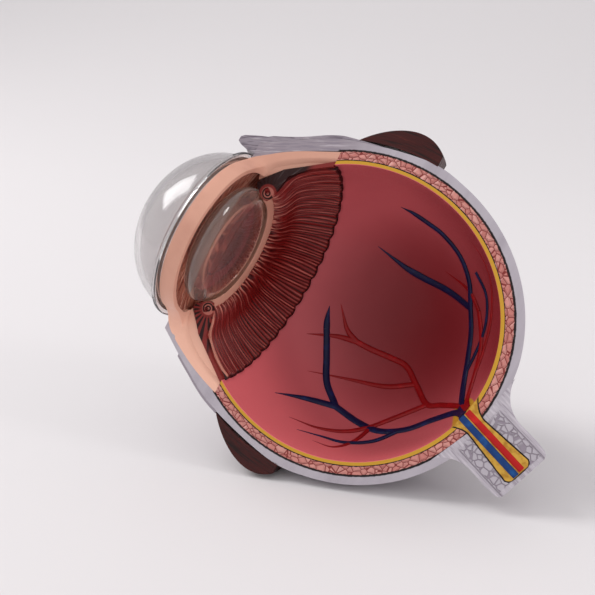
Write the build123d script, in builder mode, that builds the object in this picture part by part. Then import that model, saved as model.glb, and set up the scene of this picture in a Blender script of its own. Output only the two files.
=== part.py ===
from build123d import *

import os
from math import asin, cos, degrees, radians, sin, sqrt

# Eye anatomy model, about three and a half times life size: the lower half of a right eye, cut
# along its horizontal section and standing on its nasal side, with the cut face to the front.
#
# Every piece is drawn in the eye's own frame: X lateral, Y forward along the optical axis and
# Z out of the cut face, so the kept half lies at Z < 0. The standing plane turns the eye into
# the part's frame: Z up, origin on the floor under the middle of the eye. Lengths are in mm.

# Standing pose
face_lean = 18.2            # degrees that the cut face leans back from upright
axis_climb = 23.3           # degrees that the optical axis climbs within the cut face
centre_height = 44.3        # middle of the eye above the floor

# Globe and its three coats, from the outside in
globe_radius = 44.2
globe_depth = 46.2          # back pole of the sclera behind the middle
sclera_wall = 2.35
choroid_wall = 2.6
retina_wall = 1.0
ora_forward = 21.2          # edge of the retina, ahead of the middle
shoulder_radius = 40.2      # outside of the sclera where the globe turns into the front cone
shoulder_forward = 20.5
cone_radius = 34.8          # outside of the sclera half way down the front cone
cone_forward = 32.0
limbus_radius = 28.4        # outside of the sclera at its front edge
limbus_forward = 42.8

# Front frame: the wall behind the cornea, a full ring at its front
ring_radius = 22.9
ring_bore = 21.5
ring_length = 3.9
frame_edge_radius = 26.0    # outside of the frame at the limbus
frame_bulge = 0.9           # how far the outside bows out between ora and limbus
band_width = 2.0            # flat band along the frame's cut face at the ora
slope_depth = 1.6
slope_angle = 50.0
ring_rounding = 0.7

# Ciliary body, its muscle in section and its folds
ciliary_root = (19.6, 38.4)     # radius and distance forward of the iris root
ciliary_heel = (25.3, 33.2)
ciliary_tail = 1.6              # thickness of the tail at the ora
fold_shoulder = (24.2, 31.1)
fold_crest = (20.2, 32.4)
muscle_angle = 3.4              # degrees of the ring that show the muscle in section
fold_count = 45
fold_height = 1.2
fold_thickness = 0.75
fold_reach = 3.0                # how far a fold runs on past its crest towards the lens
scallop_count = 23
scallop_radius = 3.0
scallop_height = 0.5
canal_radius = 0.75             # arterial circle inside the ciliary head
canal_place = (18.1, 34.5)

# Lens, its conical seat, and how it is lifted out
lens_radius = 17.3
lens_half_thickness = 5.2
lens_forward = 38.15
seat_mouth = (15.4, 34.6)       # radius and distance forward of the seat's open edge
seat_floor = (18.1, 38.1)
seat_wall = 0.9
seat_relief = 10.0          # degrees left open at each end, where the lens swings out

# Iris
iris_back = 0.6                 # iris rim ahead of the ring's back face
iris_rise = 4.9                 # how far the pupil edge stands ahead of the rim
iris_wall = 1.1
pupil_radius = 5.0
pupil_wall = 0.8            # dark disc that closes the pupil

# Cornea: clear dome with a flange and a spigot that plugs into the ring
dome_radius = 23.6
dome_depth = 19.2
dome_wall = 1.5
dome_forward = 42.5
flange_radius = 24.8
flange_thickness = 1.2
flange_gap = 0.2
spigot_clearance = 0.3
spigot_wall = 0.9
spigot_length = 1.2

# Optic nerve
nerve_root = (-8.0, -40.8)      # where its axis enters the eye, lateral and forward
nerve_angle = 17.6              # degrees that it leans to the nasal side
core_root_radius = 2.6
core_end_radius = 4.3
core_length = 18.3
sheath_radius = 8.5
sheath_length = 19.4
sheath_rounding = 1.2
flare_start = 5.2
flare_radius = 12.6
core_reach = 2.6                # how far the core runs into the globe before it is trimmed
funnel_start = 3.4              # where the core starts to widen into the nerve head
funnel_radius = 6.6             # its radius at the retina
artery_radius = 0.9
vein_radius = 0.95
trunk_gap = 0.2
trunk_set_back = 0.4

# Eye muscles and their tendons
muscle_front = 17.6             # tip of a straight muscle's stub
muscle_back = -3.4              # its cut end
muscle_thickness = 5.5
muscle_half_angle = 11.0
muscle_rounding = 0.8
tendon_angle = 22.0
tendon_thickness = 0.9
flap_overhang = 5.8             # how far the lateral flap reaches past the limbus
flap_tip_thickness = 2.4
flap_bevel = 3.2
flap_clearance = 0.6
medial_tendon_stop = 7.0        # how far the medial tendon stays behind the limbus
oblique_forward = -9.0
oblique_width = 17.0
oblique_start = (11.0, -44.0)   # where its back meets the globe
oblique_middle = (-12.0, -48.9)
oblique_end = (-37.5, -38.6)
oblique_lift = (-24.5, -36.8)   # where its inner face leaves the globe
oblique_sole = (-38.5, -33.0)

# Retinal vessels, seen from in front of the cut face: lateral, forward
vessel_height = 0.55
trunk_width = 1.5
branch_width = 1.1
twig_width = 0.7
vein_routes = [
    (trunk_width, [(-8.5, -36), (-4, -34.5), (3, -31.5), (10, -28.5), (16, -25)]),
    (branch_width, [(16, -25), (22, -21.5), (27, -16), (30, -9), (31, -3)]),
    (twig_width, [(31, -3), (31.4, 1), (31.2, 5)]),
    (branch_width, [(15.5, -25.5), (16.6, -17), (16.4, -8)]),
    (twig_width, [(16.4, -8), (16.6, -2), (18.2, 8)]),
    (twig_width, [(0, -33), (8.5, -32.5), (15, -31.2), (21, -28), (25, -22.5)]),
    (trunk_width, [(-9, -36), (-16, -31.5), (-22, -26.5), (-26.5, -20), (-28, -13), (-28, -5)]),
    (branch_width, [(-28, -5), (-24, 1.5), (-18, 6), (-11, 10.5)]),
    (twig_width, [(-11, 10.5), (-8, 12), (-4.5, 13.2)]),
    (twig_width, [(-28, -5), (-29.3, 0.5), (-30.7, 6), (-32, 11)]),
    (twig_width, [(-23.5, -25), (-29, -20.5), (-33, -14), (-35, -7), (-36.3, -1)]),
]
artery_routes = [
    (branch_width, [(-7.5, -36), (-11.5, -31.5), (-13.8, -27.5), (-11.5, -22), (-8.6, -16), (-9, -10)]),
    (branch_width, [(-9, -10), (-9.8, -4), (-10, 1)]),
    (twig_width, [(-10, 1), (-8, 5.5), (-2, 11)]),
    (twig_width, [(-10, 1), (-11.5, 7), (-15, 15)]),
    (twig_width, [(-11.3, -21.5), (-16.5, -14), (-20, -4), (-24, 9)]),
    (branch_width, [(-13.6, -28), (-20, -23), (-26.5, -17.8)]),
    (twig_width, [(-26.5, -17.8), (-31, -12.5), (-34, -5), (-35.2, 4)]),
    (twig_width, [(-27, -17.5), (-31.5, -16), (-34.8, -12.5), (-36.4, -6)]),
    (branch_width, [(-7, -36), (1, -35.5), (9, -32.8), (16, -28)]),
    (twig_width, [(16, -28), (19.6, -22.5), (21.2, -13)]),
    (twig_width, [(0, -35.8), (9, -34.2), (17, -32), (24.5, -28), (29, -23), (32, -17)]),
]

choroid_radius, choroid_depth = globe_radius - sclera_wall, globe_depth - sclera_wall
retina_radius, retina_depth = choroid_radius - choroid_wall, choroid_depth - choroid_wall
cavity_radius, cavity_depth = retina_radius - retina_wall, retina_depth - retina_wall
ring_back = limbus_forward - ring_length


def radius_at(forward, radius, depth):
    """Radius of an egg-shaped coat at a distance forward of the middle."""
    return radius * sqrt(1 - (forward / depth) ** 2)


def coat_line(radius, depth):
    """Section line of an egg-shaped coat from its back pole to the edge of the retina."""
    EllipticalCenterArc((0, 0), radius, depth, start_angle=-90,
                        arc_size=90 + degrees(asin(ora_forward / depth)))


def coat_section(outer, inner):
    """Section of the layer between two coats, each given as (radius, depth)."""
    with BuildSketch() as layer:
        with BuildLine():
            coat_line(*outer)
            coat_line(*inner)
            Line((0, -outer[1]), (0, -inner[1]))
            Line((radius_at(ora_forward, *outer), ora_forward),
                 (radius_at(ora_forward, *inner), ora_forward))
        make_face()
    return layer.sketch


def round_line(radius, depth, forward, first_angle):
    """Oval section line about a point on the optical axis, up to its front pole."""
    steps = 6
    spread = [radians(first_angle + (90 - first_angle) * step / steps)
              for step in range(steps + 1)]
    return Spline(*[(radius * cos(turn), forward + depth * sin(turn)) for turn in spread],
                  tangents=((-radius * sin(spread[0]), depth * cos(spread[0])), (-1, 0)))


frame_root_radius = radius_at(ora_forward, choroid_radius, choroid_depth)
frame_middle = ((frame_root_radius + frame_edge_radius) / 2 + frame_bulge,
                (ora_forward + limbus_forward) / 2 + frame_bulge / 2)
tail_inner = radius_at(ora_forward, cavity_radius, cavity_depth)
tail_outer = tail_inner + ciliary_tail
floor_up = (cos(radians(axis_climb)) * cos(radians(face_lean)),
            sin(radians(axis_climb)) * cos(radians(face_lean)), sin(radians(face_lean)))
floor = Plane(origin=tuple(-centre_height * part for part in floor_up), z_dir=floor_up)


def outside_line(extra=0.0):
    """Outside line of the sclera from its back pole to its front edge, or a layer over it."""
    back = [radians(-90 + 15 * step) for step in range(7)]
    return Spline(*[((globe_radius + extra) * cos(turn), (globe_depth + extra) * sin(turn))
                    for turn in back],
                  (shoulder_radius + extra, shoulder_forward),
                  (cone_radius + extra, cone_forward),
                  (limbus_radius + extra, limbus_forward),
                  tangents=((1, 0), (-0.62, 0.78)))


def frame_line():
    """Shared line between the sclera and the front frame, from the ora to the limbus."""
    return Spline((frame_root_radius, ora_forward), frame_middle,
                  (frame_edge_radius, limbus_forward))


# Outside form of the whole globe, used to seat what lies on it
with BuildPart() as globe_form:
    with BuildSketch():
        with BuildLine():
            outside_line()
            Polyline((limbus_radius, limbus_forward), (0, limbus_forward), (0, -globe_depth))
        make_face()
    revolve(axis=Axis.Y, revolution_arc=180)

# Inside of the retina, used to trim the nerve head and to carry the vessels
with BuildPart() as cavity_form:
    with BuildSketch():
        with BuildLine():
            coat_line(cavity_radius, cavity_depth)
            Polyline((tail_inner, ora_forward), (0, ora_forward), (0, -cavity_depth))
        make_face()
    revolve(axis=Axis.Y, revolution_arc=180)

# Optic nerve: half a round cord with its sheath, both cut by the section plane
nerve_plane = Plane(origin=(nerve_root[0], nerve_root[1], 0),
                    x_dir=(-sin(radians(nerve_angle)), -cos(radians(nerve_angle)), 0),
                    z_dir=(0, 0, 1))
nerve_turn = Axis(nerve_plane.origin, -nerve_plane.x_dir)
core_slope = (core_end_radius - core_root_radius) / core_length

with BuildPart() as core_form:
    with BuildSketch(nerve_plane):
        with BuildLine():
            cord = Line((core_length, core_end_radius),
                        (funnel_start, core_root_radius + core_slope * funnel_start))
            funnel = TangentArc(cord @ 1, (-core_reach, funnel_radius), tangent=cord % 1)
            Polyline(funnel @ 1, (-core_reach, 0), (core_length, 0), cord @ 0)
        make_face()
    revolve(axis=nerve_turn, revolution_arc=180)


def trunk(radius, offset):
    """Half-round vessel that lies in the core's cut face, beside the nerve's axis."""
    along = nerve_plane.offset(0)
    with BuildPart() as rod:
        with BuildSketch(along):
            with Locations((-core_reach / 2, offset)):
                Rectangle(core_reach / 2 + core_length - trunk_set_back, radius,
                          align=(Align.MIN, Align.MIN))
        middle = along.from_local_coords(Vector(0, offset, 0))
        revolve(axis=Axis(middle, -nerve_plane.x_dir), revolution_arc=180)
        add(cavity_form.part, mode=Mode.SUBTRACT)
    return rod.part


with BuildPart() as nerve_artery:
    add(trunk(artery_radius, artery_radius + trunk_gap / 2))

with BuildPart() as nerve_vein:
    add(trunk(vein_radius, -vein_radius - trunk_gap / 2))

with BuildPart() as optic_nerve_core:
    add(core_form.part)
    add(cavity_form.part, mode=Mode.SUBTRACT)
    add(nerve_artery.part, mode=Mode.SUBTRACT)
    add(nerve_vein.part, mode=Mode.SUBTRACT)

with BuildPart() as nerve_sheath:
    with BuildSketch(nerve_plane):
        with BuildLine():
            flare = TangentArc((flare_start, sheath_radius), (-1.0, flare_radius), tangent=(-1, 0))
            Polyline(flare @ 0, (sheath_length - sheath_rounding, sheath_radius),
                     (sheath_length, sheath_radius - sheath_rounding), (sheath_length, 0),
                     (-core_reach, 0), (-core_reach, flare_radius), flare @ 1)
        make_face()
    revolve(axis=nerve_turn, revolution_arc=180)
    add(globe_form.part, mode=Mode.SUBTRACT)
    add(core_form.part, mode=Mode.SUBTRACT)

# Coats of the globe
with BuildPart() as sclera_shell:
    with BuildSketch():
        with BuildLine():
            outside_line()
            Line((limbus_radius, limbus_forward), (frame_edge_radius, limbus_forward))
            frame_line()
            coat_line(choroid_radius, choroid_depth)
            Line((0, -choroid_depth), (0, -globe_depth))
        make_face()
    revolve(axis=Axis.Y, revolution_arc=180)
    add(core_form.part, mode=Mode.SUBTRACT)
    split(bisect_by=floor, keep=Keep.TOP)

with BuildPart() as choroid_layer:
    with BuildSketch():
        add(coat_section((choroid_radius, choroid_depth), (retina_radius, retina_depth)))
    revolve(axis=Axis.Y, revolution_arc=180)
    add(core_form.part, mode=Mode.SUBTRACT)

with BuildPart() as retina_layer:
    with BuildSketch():
        add(coat_section((retina_radius, retina_depth), (cavity_radius, cavity_depth)))
    revolve(axis=Axis.Y, revolution_arc=180)
    add(core_form.part, mode=Mode.SUBTRACT)

# Front frame: the wall in section, and the full ring that carries iris and cornea
with BuildPart() as front_frame:
    with BuildSketch():
        with BuildLine():
            outside = frame_line()
            Polyline(outside @ 1, (ring_bore, limbus_forward), (ring_bore, ring_back),
                     ciliary_root, ciliary_heel, (tail_outer, ora_forward), outside @ 0)
        make_face()
    revolve(axis=Axis.Y, revolution_arc=180)
    with BuildSketch() as ring_section:
        with Locations((ring_bore, ring_back)):
            Rectangle(ring_radius - ring_bore, ring_length, align=(Align.MIN, Align.MIN))
        fillet(ring_section.vertices().group_by(Axis.Y)[0].sort_by(Axis.X)[-1], ring_rounding)
    revolve(axis=Axis.Y)
    with BuildSketch():
        with BuildLine():
            Polyline((0, ora_forward), (frame_root_radius - band_width, ora_forward),
                     (ciliary_heel[0] + band_width, ciliary_heel[1] + band_width),
                     (ring_radius + band_width / 2, ring_back), (0, ring_back), close=True)
        make_face()
        mirror(about=Plane.YZ)
    extrude(amount=-slope_depth, taper=slope_angle, mode=Mode.SUBTRACT)

# Iris: a shallow cone with the pupil at its top
rim = ring_back + iris_back
with BuildPart() as iris:
    with BuildSketch():
        with BuildLine():
            Polyline((ring_bore, rim), (pupil_radius, rim + iris_rise),
                     (pupil_radius, rim + iris_rise + iris_wall), (ring_bore, rim + iris_wall),
                     close=True)
        make_face()
    revolve(axis=Axis.Y)

with BuildPart() as pupil_disc:
    with BuildSketch():
        with Locations((0, rim + iris_rise)):
            Rectangle(pupil_radius, pupil_wall, align=(Align.MIN, Align.MIN))
    revolve(axis=Axis.Y)

# Ciliary body: a ring wedge with radial folds, scalloped where it meets the retina
seat_outer_mouth = (seat_mouth[0] + seat_wall, seat_mouth[1])
seat_outer_floor = (seat_floor[0] + seat_wall, seat_floor[1])


def ciliary_section():
    """Wedge section of the ciliary body, lateral half."""
    with BuildSketch() as wedge:
        with BuildLine():
            Polyline(seat_outer_mouth, seat_outer_floor, ciliary_root, ciliary_heel,
                     (tail_outer, ora_forward), (tail_inner, ora_forward), fold_shoulder,
                     fold_crest, close=True)
        make_face()
        with Locations(canal_place):
            Circle(canal_radius, mode=Mode.SUBTRACT)
    return wedge.sketch


def muscle_zone():
    """The part of the wedge where the cut face shows the muscle."""
    with BuildSketch() as zone:
        with BuildLine():
            Polyline(seat_outer_mouth, seat_outer_floor, ciliary_root, ciliary_heel,
                     fold_shoulder, fold_crest, close=True)
        make_face()
        with Locations(canal_place):
            Circle(canal_radius, mode=Mode.SUBTRACT)
    return zone.sketch


with BuildPart() as lateral_ciliary_muscle:
    with BuildSketch():
        add(muscle_zone())
    revolve(axis=Axis.Y, revolution_arc=muscle_angle)

with BuildPart() as medial_ciliary_muscle:
    with BuildSketch():
        add(muscle_zone())
        mirror(about=Plane.YZ, mode=Mode.REPLACE)
    revolve(axis=-Axis.Y, revolution_arc=muscle_angle)

with BuildPart() as arterial_circle:
    with BuildSketch():
        with Locations(canal_place):
            Circle(canal_radius)
    revolve(axis=Axis.Y, revolution_arc=180)

with BuildPart() as fold:
    with BuildSketch():
        with BuildLine():
            Polyline((fold_crest[0] - fold_reach, fold_crest[1] + fold_height),
                     (fold_crest[0], fold_crest[1] - fold_height),
                     (fold_shoulder[0] - fold_height, fold_shoulder[1] - fold_height),
                     (tail_inner - fold_height, ora_forward + fold_height),
                     (tail_inner + ciliary_tail / 3, ora_forward + ciliary_tail),
                     fold_shoulder, (fold_crest[0], fold_crest[1] + fold_height), close=True)
        make_face()
    extrude(amount=fold_thickness / 2, both=True)

with BuildPart() as scallop:
    with BuildSketch(Plane.XZ.offset(-ora_forward)):
        with Locations((tail_inner - scallop_radius / 5, 0)):
            Circle(scallop_radius / 2)
    extrude(amount=scallop_height, both=True)

with BuildPart() as ciliary_body:
    with BuildSketch():
        add(ciliary_section())
    revolve(axis=Axis.Y, revolution_arc=180)
    fold_turns = [muscle_angle + (180 - 2 * muscle_angle) * (turn + 0.5) / fold_count
                  for turn in range(fold_count)]
    scallop_turns = [180 * (turn + 0.5) / scallop_count for turn in range(scallop_count)]
    add([fold.part.rotate(Axis.Y, turn) for turn in fold_turns]
        + [scallop.part.rotate(Axis.Y, turn) for turn in scallop_turns])
    add([retina_layer.part, choroid_layer.part, lateral_ciliary_muscle.part,
         medial_ciliary_muscle.part, arterial_circle.part], mode=Mode.SUBTRACT)

# Lens and the conical seat that holds it
with BuildPart() as lens_seat:
    with BuildSketch(Plane.XY.rotated((0, seat_relief, 0))):
        with BuildLine():
            Polyline(seat_mouth, seat_floor, seat_outer_floor, seat_outer_mouth, close=True)
        make_face()
    revolve(axis=Axis.Y, revolution_arc=180 - 2 * seat_relief)

with BuildPart() as lens:
    with BuildSketch():
        with BuildLine():
            front = round_line(lens_radius, lens_half_thickness, lens_forward, 0)
            back = round_line(lens_radius, -lens_half_thickness, lens_forward, 0)
            Line(front @ 1, back @ 1)
        make_face()
    revolve(axis=Axis.Y)

# Cornea: clear dome, flange and spigot in one moulding
flange_back = limbus_forward + flange_gap
flange_front = flange_back + flange_thickness
spigot_radius = ring_bore - spigot_clearance
dome_foot = degrees(asin((flange_front - dome_forward) / dome_depth))
with BuildPart() as cornea:
    with BuildSketch():
        with BuildLine():
            outside = round_line(dome_radius, dome_depth, dome_forward, dome_foot)
            inside = round_line(dome_radius - dome_wall, dome_depth - dome_wall, dome_forward,
                                dome_foot)
            Line(outside @ 1, inside @ 1)
            Polyline(inside @ 0, (spigot_radius - spigot_wall, flange_back),
                     (spigot_radius - spigot_wall, flange_back - spigot_length),
                     (spigot_radius, flange_back - spigot_length), (spigot_radius, flange_back),
                     (flange_radius, flange_back), (flange_radius, flange_front), outside @ 0)
        make_face()
    revolve(axis=Axis.Y)

# Straight eye muscles: stubs that lie on the globe, the side ones cut by the section
muscle_peak = globe_radius + muscle_thickness


def muscle_section():
    """Stub of a straight muscle along the globe: a thin tip, a full belly and a cut end."""
    with BuildSketch() as stub:
        with BuildLine():
            crown = Spline((shoulder_radius, muscle_front + 1.5),
                           (muscle_peak - 2.2, muscle_front / 2 + 2),
                           (muscle_peak, muscle_front / 6),
                           (muscle_peak - muscle_thickness / 2, muscle_back))
            Polyline(crown @ 1, (shoulder_radius - 2, muscle_back), crown @ 0)
        make_face()
    return stub.sketch


with BuildPart() as lateral_rectus:
    with BuildSketch():
        add(muscle_section())
    revolve(axis=Axis.Y, revolution_arc=muscle_half_angle)
    add(globe_form.part, mode=Mode.SUBTRACT)

with BuildPart() as medial_rectus:
    with BuildSketch():
        add(muscle_section())
        mirror(about=Plane.YZ, mode=Mode.REPLACE)
    revolve(axis=-Axis.Y, revolution_arc=muscle_half_angle)
    add(globe_form.part, mode=Mode.SUBTRACT)
    split(bisect_by=floor, keep=Keep.TOP)

with BuildPart() as inferior_rectus:
    with BuildSketch(Plane.XY.rotated((0, 90 - muscle_half_angle, 0))):
        add(muscle_section())
    revolve(axis=Axis.Y, revolution_arc=2 * muscle_half_angle)
    add(globe_form.part, mode=Mode.SUBTRACT)

# Oblique muscle: a strap round the underside whose cut end stands on the floor
with BuildPart() as inferior_oblique:
    with BuildSketch(Plane.XZ.offset(-oblique_forward)):
        with BuildLine():
            back = ThreePointArc(oblique_start, oblique_middle, oblique_end)
            Polyline(back @ 1, oblique_sole, oblique_lift, (0, -globe_radius / 2), back @ 0)
        make_face()
    extrude(amount=oblique_width / 2, both=True)
    add(globe_form.part, mode=Mode.SUBTRACT)
    add(inferior_rectus.part, mode=Mode.SUBTRACT)
    split(bisect_by=floor, keep=Keep.TOP)

def tendon_section(back, front):
    """Thin layer over the sclera between two stations along the axis."""
    with BuildSketch() as layer:
        with BuildLine():
            outer = outside_line(tendon_thickness)
            Polyline(outer @ 1, (0, limbus_forward), outer @ 0)
        make_face()
        with Locations((0, back)):
            Rectangle(2 * globe_radius, front - back, align=(Align.MIN, Align.MIN),
                      mode=Mode.INTERSECT)
    return layer.sketch


# Tendons: the lateral one ends in a flap that overhangs the cornea's flange
flap_inner = flange_radius + flap_clearance
flap_outer = limbus_radius + tendon_thickness
tip_forward = limbus_forward + flap_overhang
with BuildPart() as lateral_tendon:
    with BuildSketch():
        add(tendon_section(muscle_front, limbus_forward))
        with BuildLine():
            Polyline((flap_inner, limbus_forward), (flap_outer, limbus_forward),
                     (flap_outer - 0.3, tip_forward - 2.4),
                     (flap_inner + flap_tip_thickness, tip_forward),
                     (flap_inner + 1, tip_forward), (flap_inner, tip_forward - flap_bevel),
                     close=True)
        make_face()
    revolve(axis=Axis.Y, revolution_arc=tendon_angle)
    add(globe_form.part, mode=Mode.SUBTRACT)
    add(lateral_rectus.part, mode=Mode.SUBTRACT)

with BuildPart() as medial_tendon:
    with BuildSketch():
        add(tendon_section(muscle_front, limbus_forward - medial_tendon_stop))
        mirror(about=Plane.YZ, mode=Mode.REPLACE)
    revolve(axis=-Axis.Y, revolution_arc=tendon_angle)
    add(globe_form.part, mode=Mode.SUBTRACT)
    add(medial_rectus.part, mode=Mode.SUBTRACT)


def vessel_relief(routes):
    """Flat branches pressed onto the bowl of the retina, as a thin raised skin."""
    with BuildPart() as skin:
        with BuildSketch(Plane.XY):
            for width, points in routes:
                with BuildLine():
                    line = Spline(*points)
                trace(line, line_width=width)
        extrude(amount=-globe_radius)
        with BuildSketch(Plane.XY, mode=Mode.PRIVATE) as bowl:
            add(coat_section((cavity_radius, cavity_depth),
                             (cavity_radius - vessel_height, cavity_depth - vessel_height)))
        revolve(bowl.sketch, axis=Axis.Y, revolution_arc=180, mode=Mode.INTERSECT)
    return skin.part


with BuildPart() as retinal_veins:
    add(vessel_relief(vein_routes))

arteries_uncrossed = vessel_relief(artery_routes) - retinal_veins.part
with BuildPart() as retinal_arteries:
    add(arteries_uncrossed.solids().filter_by(lambda piece: piece.volume > 1))

pieces = {
    "sclera_shell": sclera_shell,
    "choroid_layer": choroid_layer,
    "retina_layer": retina_layer,
    "front_frame": front_frame,
    "iris": iris,
    "pupil_disc": pupil_disc,
    "ciliary_body": ciliary_body,
    "lateral_ciliary_muscle": lateral_ciliary_muscle,
    "medial_ciliary_muscle": medial_ciliary_muscle,
    "arterial_circle": arterial_circle,
    "lens_seat": lens_seat,
    "lens": lens,
    "cornea": cornea,
    "optic_nerve_core": optic_nerve_core,
    "nerve_sheath": nerve_sheath,
    "nerve_artery": nerve_artery,
    "nerve_vein": nerve_vein,
    "lateral_rectus": lateral_rectus,
    "medial_rectus": medial_rectus,
    "inferior_rectus": inferior_rectus,
    "inferior_oblique": inferior_oblique,
    "lateral_tendon": lateral_tendon,
    "medial_tendon": medial_tendon,
    "retinal_veins": retinal_veins,
    "retinal_arteries": retinal_arteries,
}

standing = Plane(
    origin=(0, 0, centre_height),
    x_dir=(sin(radians(axis_climb)), cos(radians(axis_climb)) * sin(radians(face_lean)),
           cos(radians(axis_climb)) * cos(radians(face_lean))),
    z_dir=(0, -cos(radians(face_lean)), sin(radians(face_lean))),
)

os.makedirs("parts", exist_ok=True)
for name, piece in pieces.items():
    stood = piece.part.moved(standing.location)
    stood.label = name
    export_step(stood, f"parts/{name}.step")
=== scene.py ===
import math

import bpy
import numpy as np
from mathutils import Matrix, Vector


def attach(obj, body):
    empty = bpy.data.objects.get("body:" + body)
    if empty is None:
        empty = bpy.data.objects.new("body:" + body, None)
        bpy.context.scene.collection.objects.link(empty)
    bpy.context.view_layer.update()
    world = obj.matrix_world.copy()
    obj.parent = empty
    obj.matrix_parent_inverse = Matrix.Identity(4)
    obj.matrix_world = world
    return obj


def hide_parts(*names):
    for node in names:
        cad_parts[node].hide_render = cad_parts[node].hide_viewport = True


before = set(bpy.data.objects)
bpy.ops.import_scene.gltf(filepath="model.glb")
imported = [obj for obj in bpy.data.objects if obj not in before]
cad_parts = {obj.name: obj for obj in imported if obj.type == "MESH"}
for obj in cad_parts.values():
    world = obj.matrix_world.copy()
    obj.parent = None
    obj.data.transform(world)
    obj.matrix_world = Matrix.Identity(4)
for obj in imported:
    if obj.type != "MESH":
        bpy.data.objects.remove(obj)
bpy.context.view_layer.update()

print("frame loaded")

# The eye's own frame, the same as the solids': lateral, forward and outward, in millimetres

pose = {"faceLean": 18.2, "axisClimb": 23.3, "centreHeight": 44.3}
lean = math.radians(pose["faceLean"])
climb = math.radians(pose["axisClimb"])
lateral = np.array([math.sin(climb), math.cos(climb) * math.sin(lean), math.cos(climb) * math.cos(lean)])
forward = np.array([-math.cos(climb), math.sin(climb) * math.sin(lean), math.sin(climb) * math.cos(lean)])
outward = np.array([0.0, -math.cos(lean), math.sin(lean)])
centre = np.array([0.0, 0.0, pose["centreHeight"]])

# radii and depths of the globe, walls of its coats, and (radius, forward) of its front points
globe = {"radius": 44.2, "depth": 46.2, "sclera": 2.35, "choroid": 2.6, "retina": 1.0, "ora": 21.2,
         "shoulder": (40.2, 20.5), "cone": (34.8, 32.0), "limbus": (28.4, 42.8)}
choroidSize = np.array([globe["radius"], globe["depth"]]) - globe["sclera"]
retinaSize = choroidSize - globe["choroid"]
cavitySize = retinaSize - globe["retina"]


def stand(x, y, z):
    # row frame = centre + x lateral + y forward + z outward, millimetres to metres
    x, y, z = np.broadcast_arrays(np.asarray(x, float), np.asarray(y, float), np.asarray(z, float))
    return (centre + x[..., None] * lateral + y[..., None] * forward + z[..., None] * outward) / 1000


# Meshes

def smoothLine(points, count):
    # Catmull-Rom curve through the points, sampled evenly by knot
    p = np.asarray(points, float)
    p = np.vstack([2 * p[0] - p[1], p, 2 * p[-1] - p[-2]])
    t = np.linspace(0, len(p) - 3 - 1e-9, count)
    i = t.astype(int)
    u = (t - i)[:, None]
    a, b, c, d = p[i], p[i + 1], p[i + 2], p[i + 3]
    line, square, cube = c - a, 2 * a - 5 * b + 4 * c - d, 3 * b - a - 3 * c + d
    return 0.5 * (2 * b + line * u + square * u ** 2 + cube * u ** 3)


def ovalLine(size, start, stop, count, middle=0.0):
    # ellipse about the optical axis: radius = a cos t, forward = middle + b sin t
    t = np.radians(np.linspace(start, stop, count))
    return np.stack([size[0] * np.cos(t), middle + size[1] * np.sin(t)], 1)


def gridFaces(rows, columns, closedRows=False, closedColumns=False, start=0):
    # quads of a rows x columns grid of points, wrapping where it is closed
    i, j = np.meshgrid(np.arange(rows if closedRows else rows - 1),
                       np.arange(columns if closedColumns else columns - 1), indexing="ij")
    nextI, nextJ = (i + 1) % rows, (j + 1) % columns
    quads = np.stack([i * columns + j, i * columns + nextJ, nextI * columns + nextJ, nextI * columns + j], -1)
    return quads.reshape(-1, 4) + start


def shellFaces(rows, columns, start=0):
    # grid closed round its columns, with a flat cap on its first and last row
    caps = [start + np.arange(columns)[::-1], start + (rows - 1) * columns + np.arange(columns)]
    return gridFaces(rows, columns, closedColumns=True, start=start).tolist() + [cap.tolist() for cap in caps]


def turnOutwards(mesh):
    # a closed mesh whose signed volume is negative has its faces flipped
    mesh.calc_loop_triangles()
    corners = np.empty(len(mesh.vertices) * 3)
    mesh.vertices.foreach_get("co", corners)
    triangles = np.empty(len(mesh.loop_triangles) * 3, dtype=np.int32)
    mesh.loop_triangles.foreach_get("vertices", triangles)
    a, b, c = np.moveaxis(corners.reshape(-1, 3)[triangles.reshape(-1, 3)], 1, 0)
    if np.einsum("ij,ij->i", a, np.cross(b, c)).sum() < 0:
        mesh.flip_normals()


def addPiece(name, points, faces, material, body="eye", slotName=None, nodes=(), sharp=35, values=None):
    # nothing reaches under the floor: the globe is flat where it rests on it
    points = np.maximum(points.reshape(-1, 3), [-1.0, -1.0, 0.0])
    mesh = bpy.data.meshes.new(name)
    mesh.from_pydata(points.tolist(), [], faces)
    for label, data in (values or {}).items():
        layer = mesh.attributes.new(label, "FLOAT", "POINT")
        layer.data.foreach_set("value", np.ravel(data).astype(np.float32))
    mesh.shade_smooth()
    mesh.set_sharp_from_angle(angle=math.radians(sharp))
    mesh.materials.append(material)
    piece = bpy.data.objects.new(name, mesh)
    bpy.context.scene.collection.objects.link(piece)
    turnOutwards(mesh)
    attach(piece, body)
    if nodes:
        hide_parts(*nodes)
    return piece


def standRound(radius, along, turns):
    # x = radius cos turn, z = -radius sin turn about the optical axis; 0 is lateral, pi medial
    return stand(radius * np.cos(turns), along + 0 * turns, -radius * np.sin(turns))


def turned(line, turns):
    # section line (radius, forward) at each turn
    return standRound(line[None, :, 0], line[None, :, 1], np.asarray(turns)[:, None])


def addTurned(name, line, material, turnRange=(0, 180), steps=160, **extra):
    # closed section line swept over part of a turn, with a flat cap at each end
    line = np.asarray(line, float)
    turns = np.radians(np.linspace(*turnRange, steps + 1))
    return addPiece(name, turned(line, turns), shellFaces(len(turns), len(line)), material, **extra)


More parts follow.
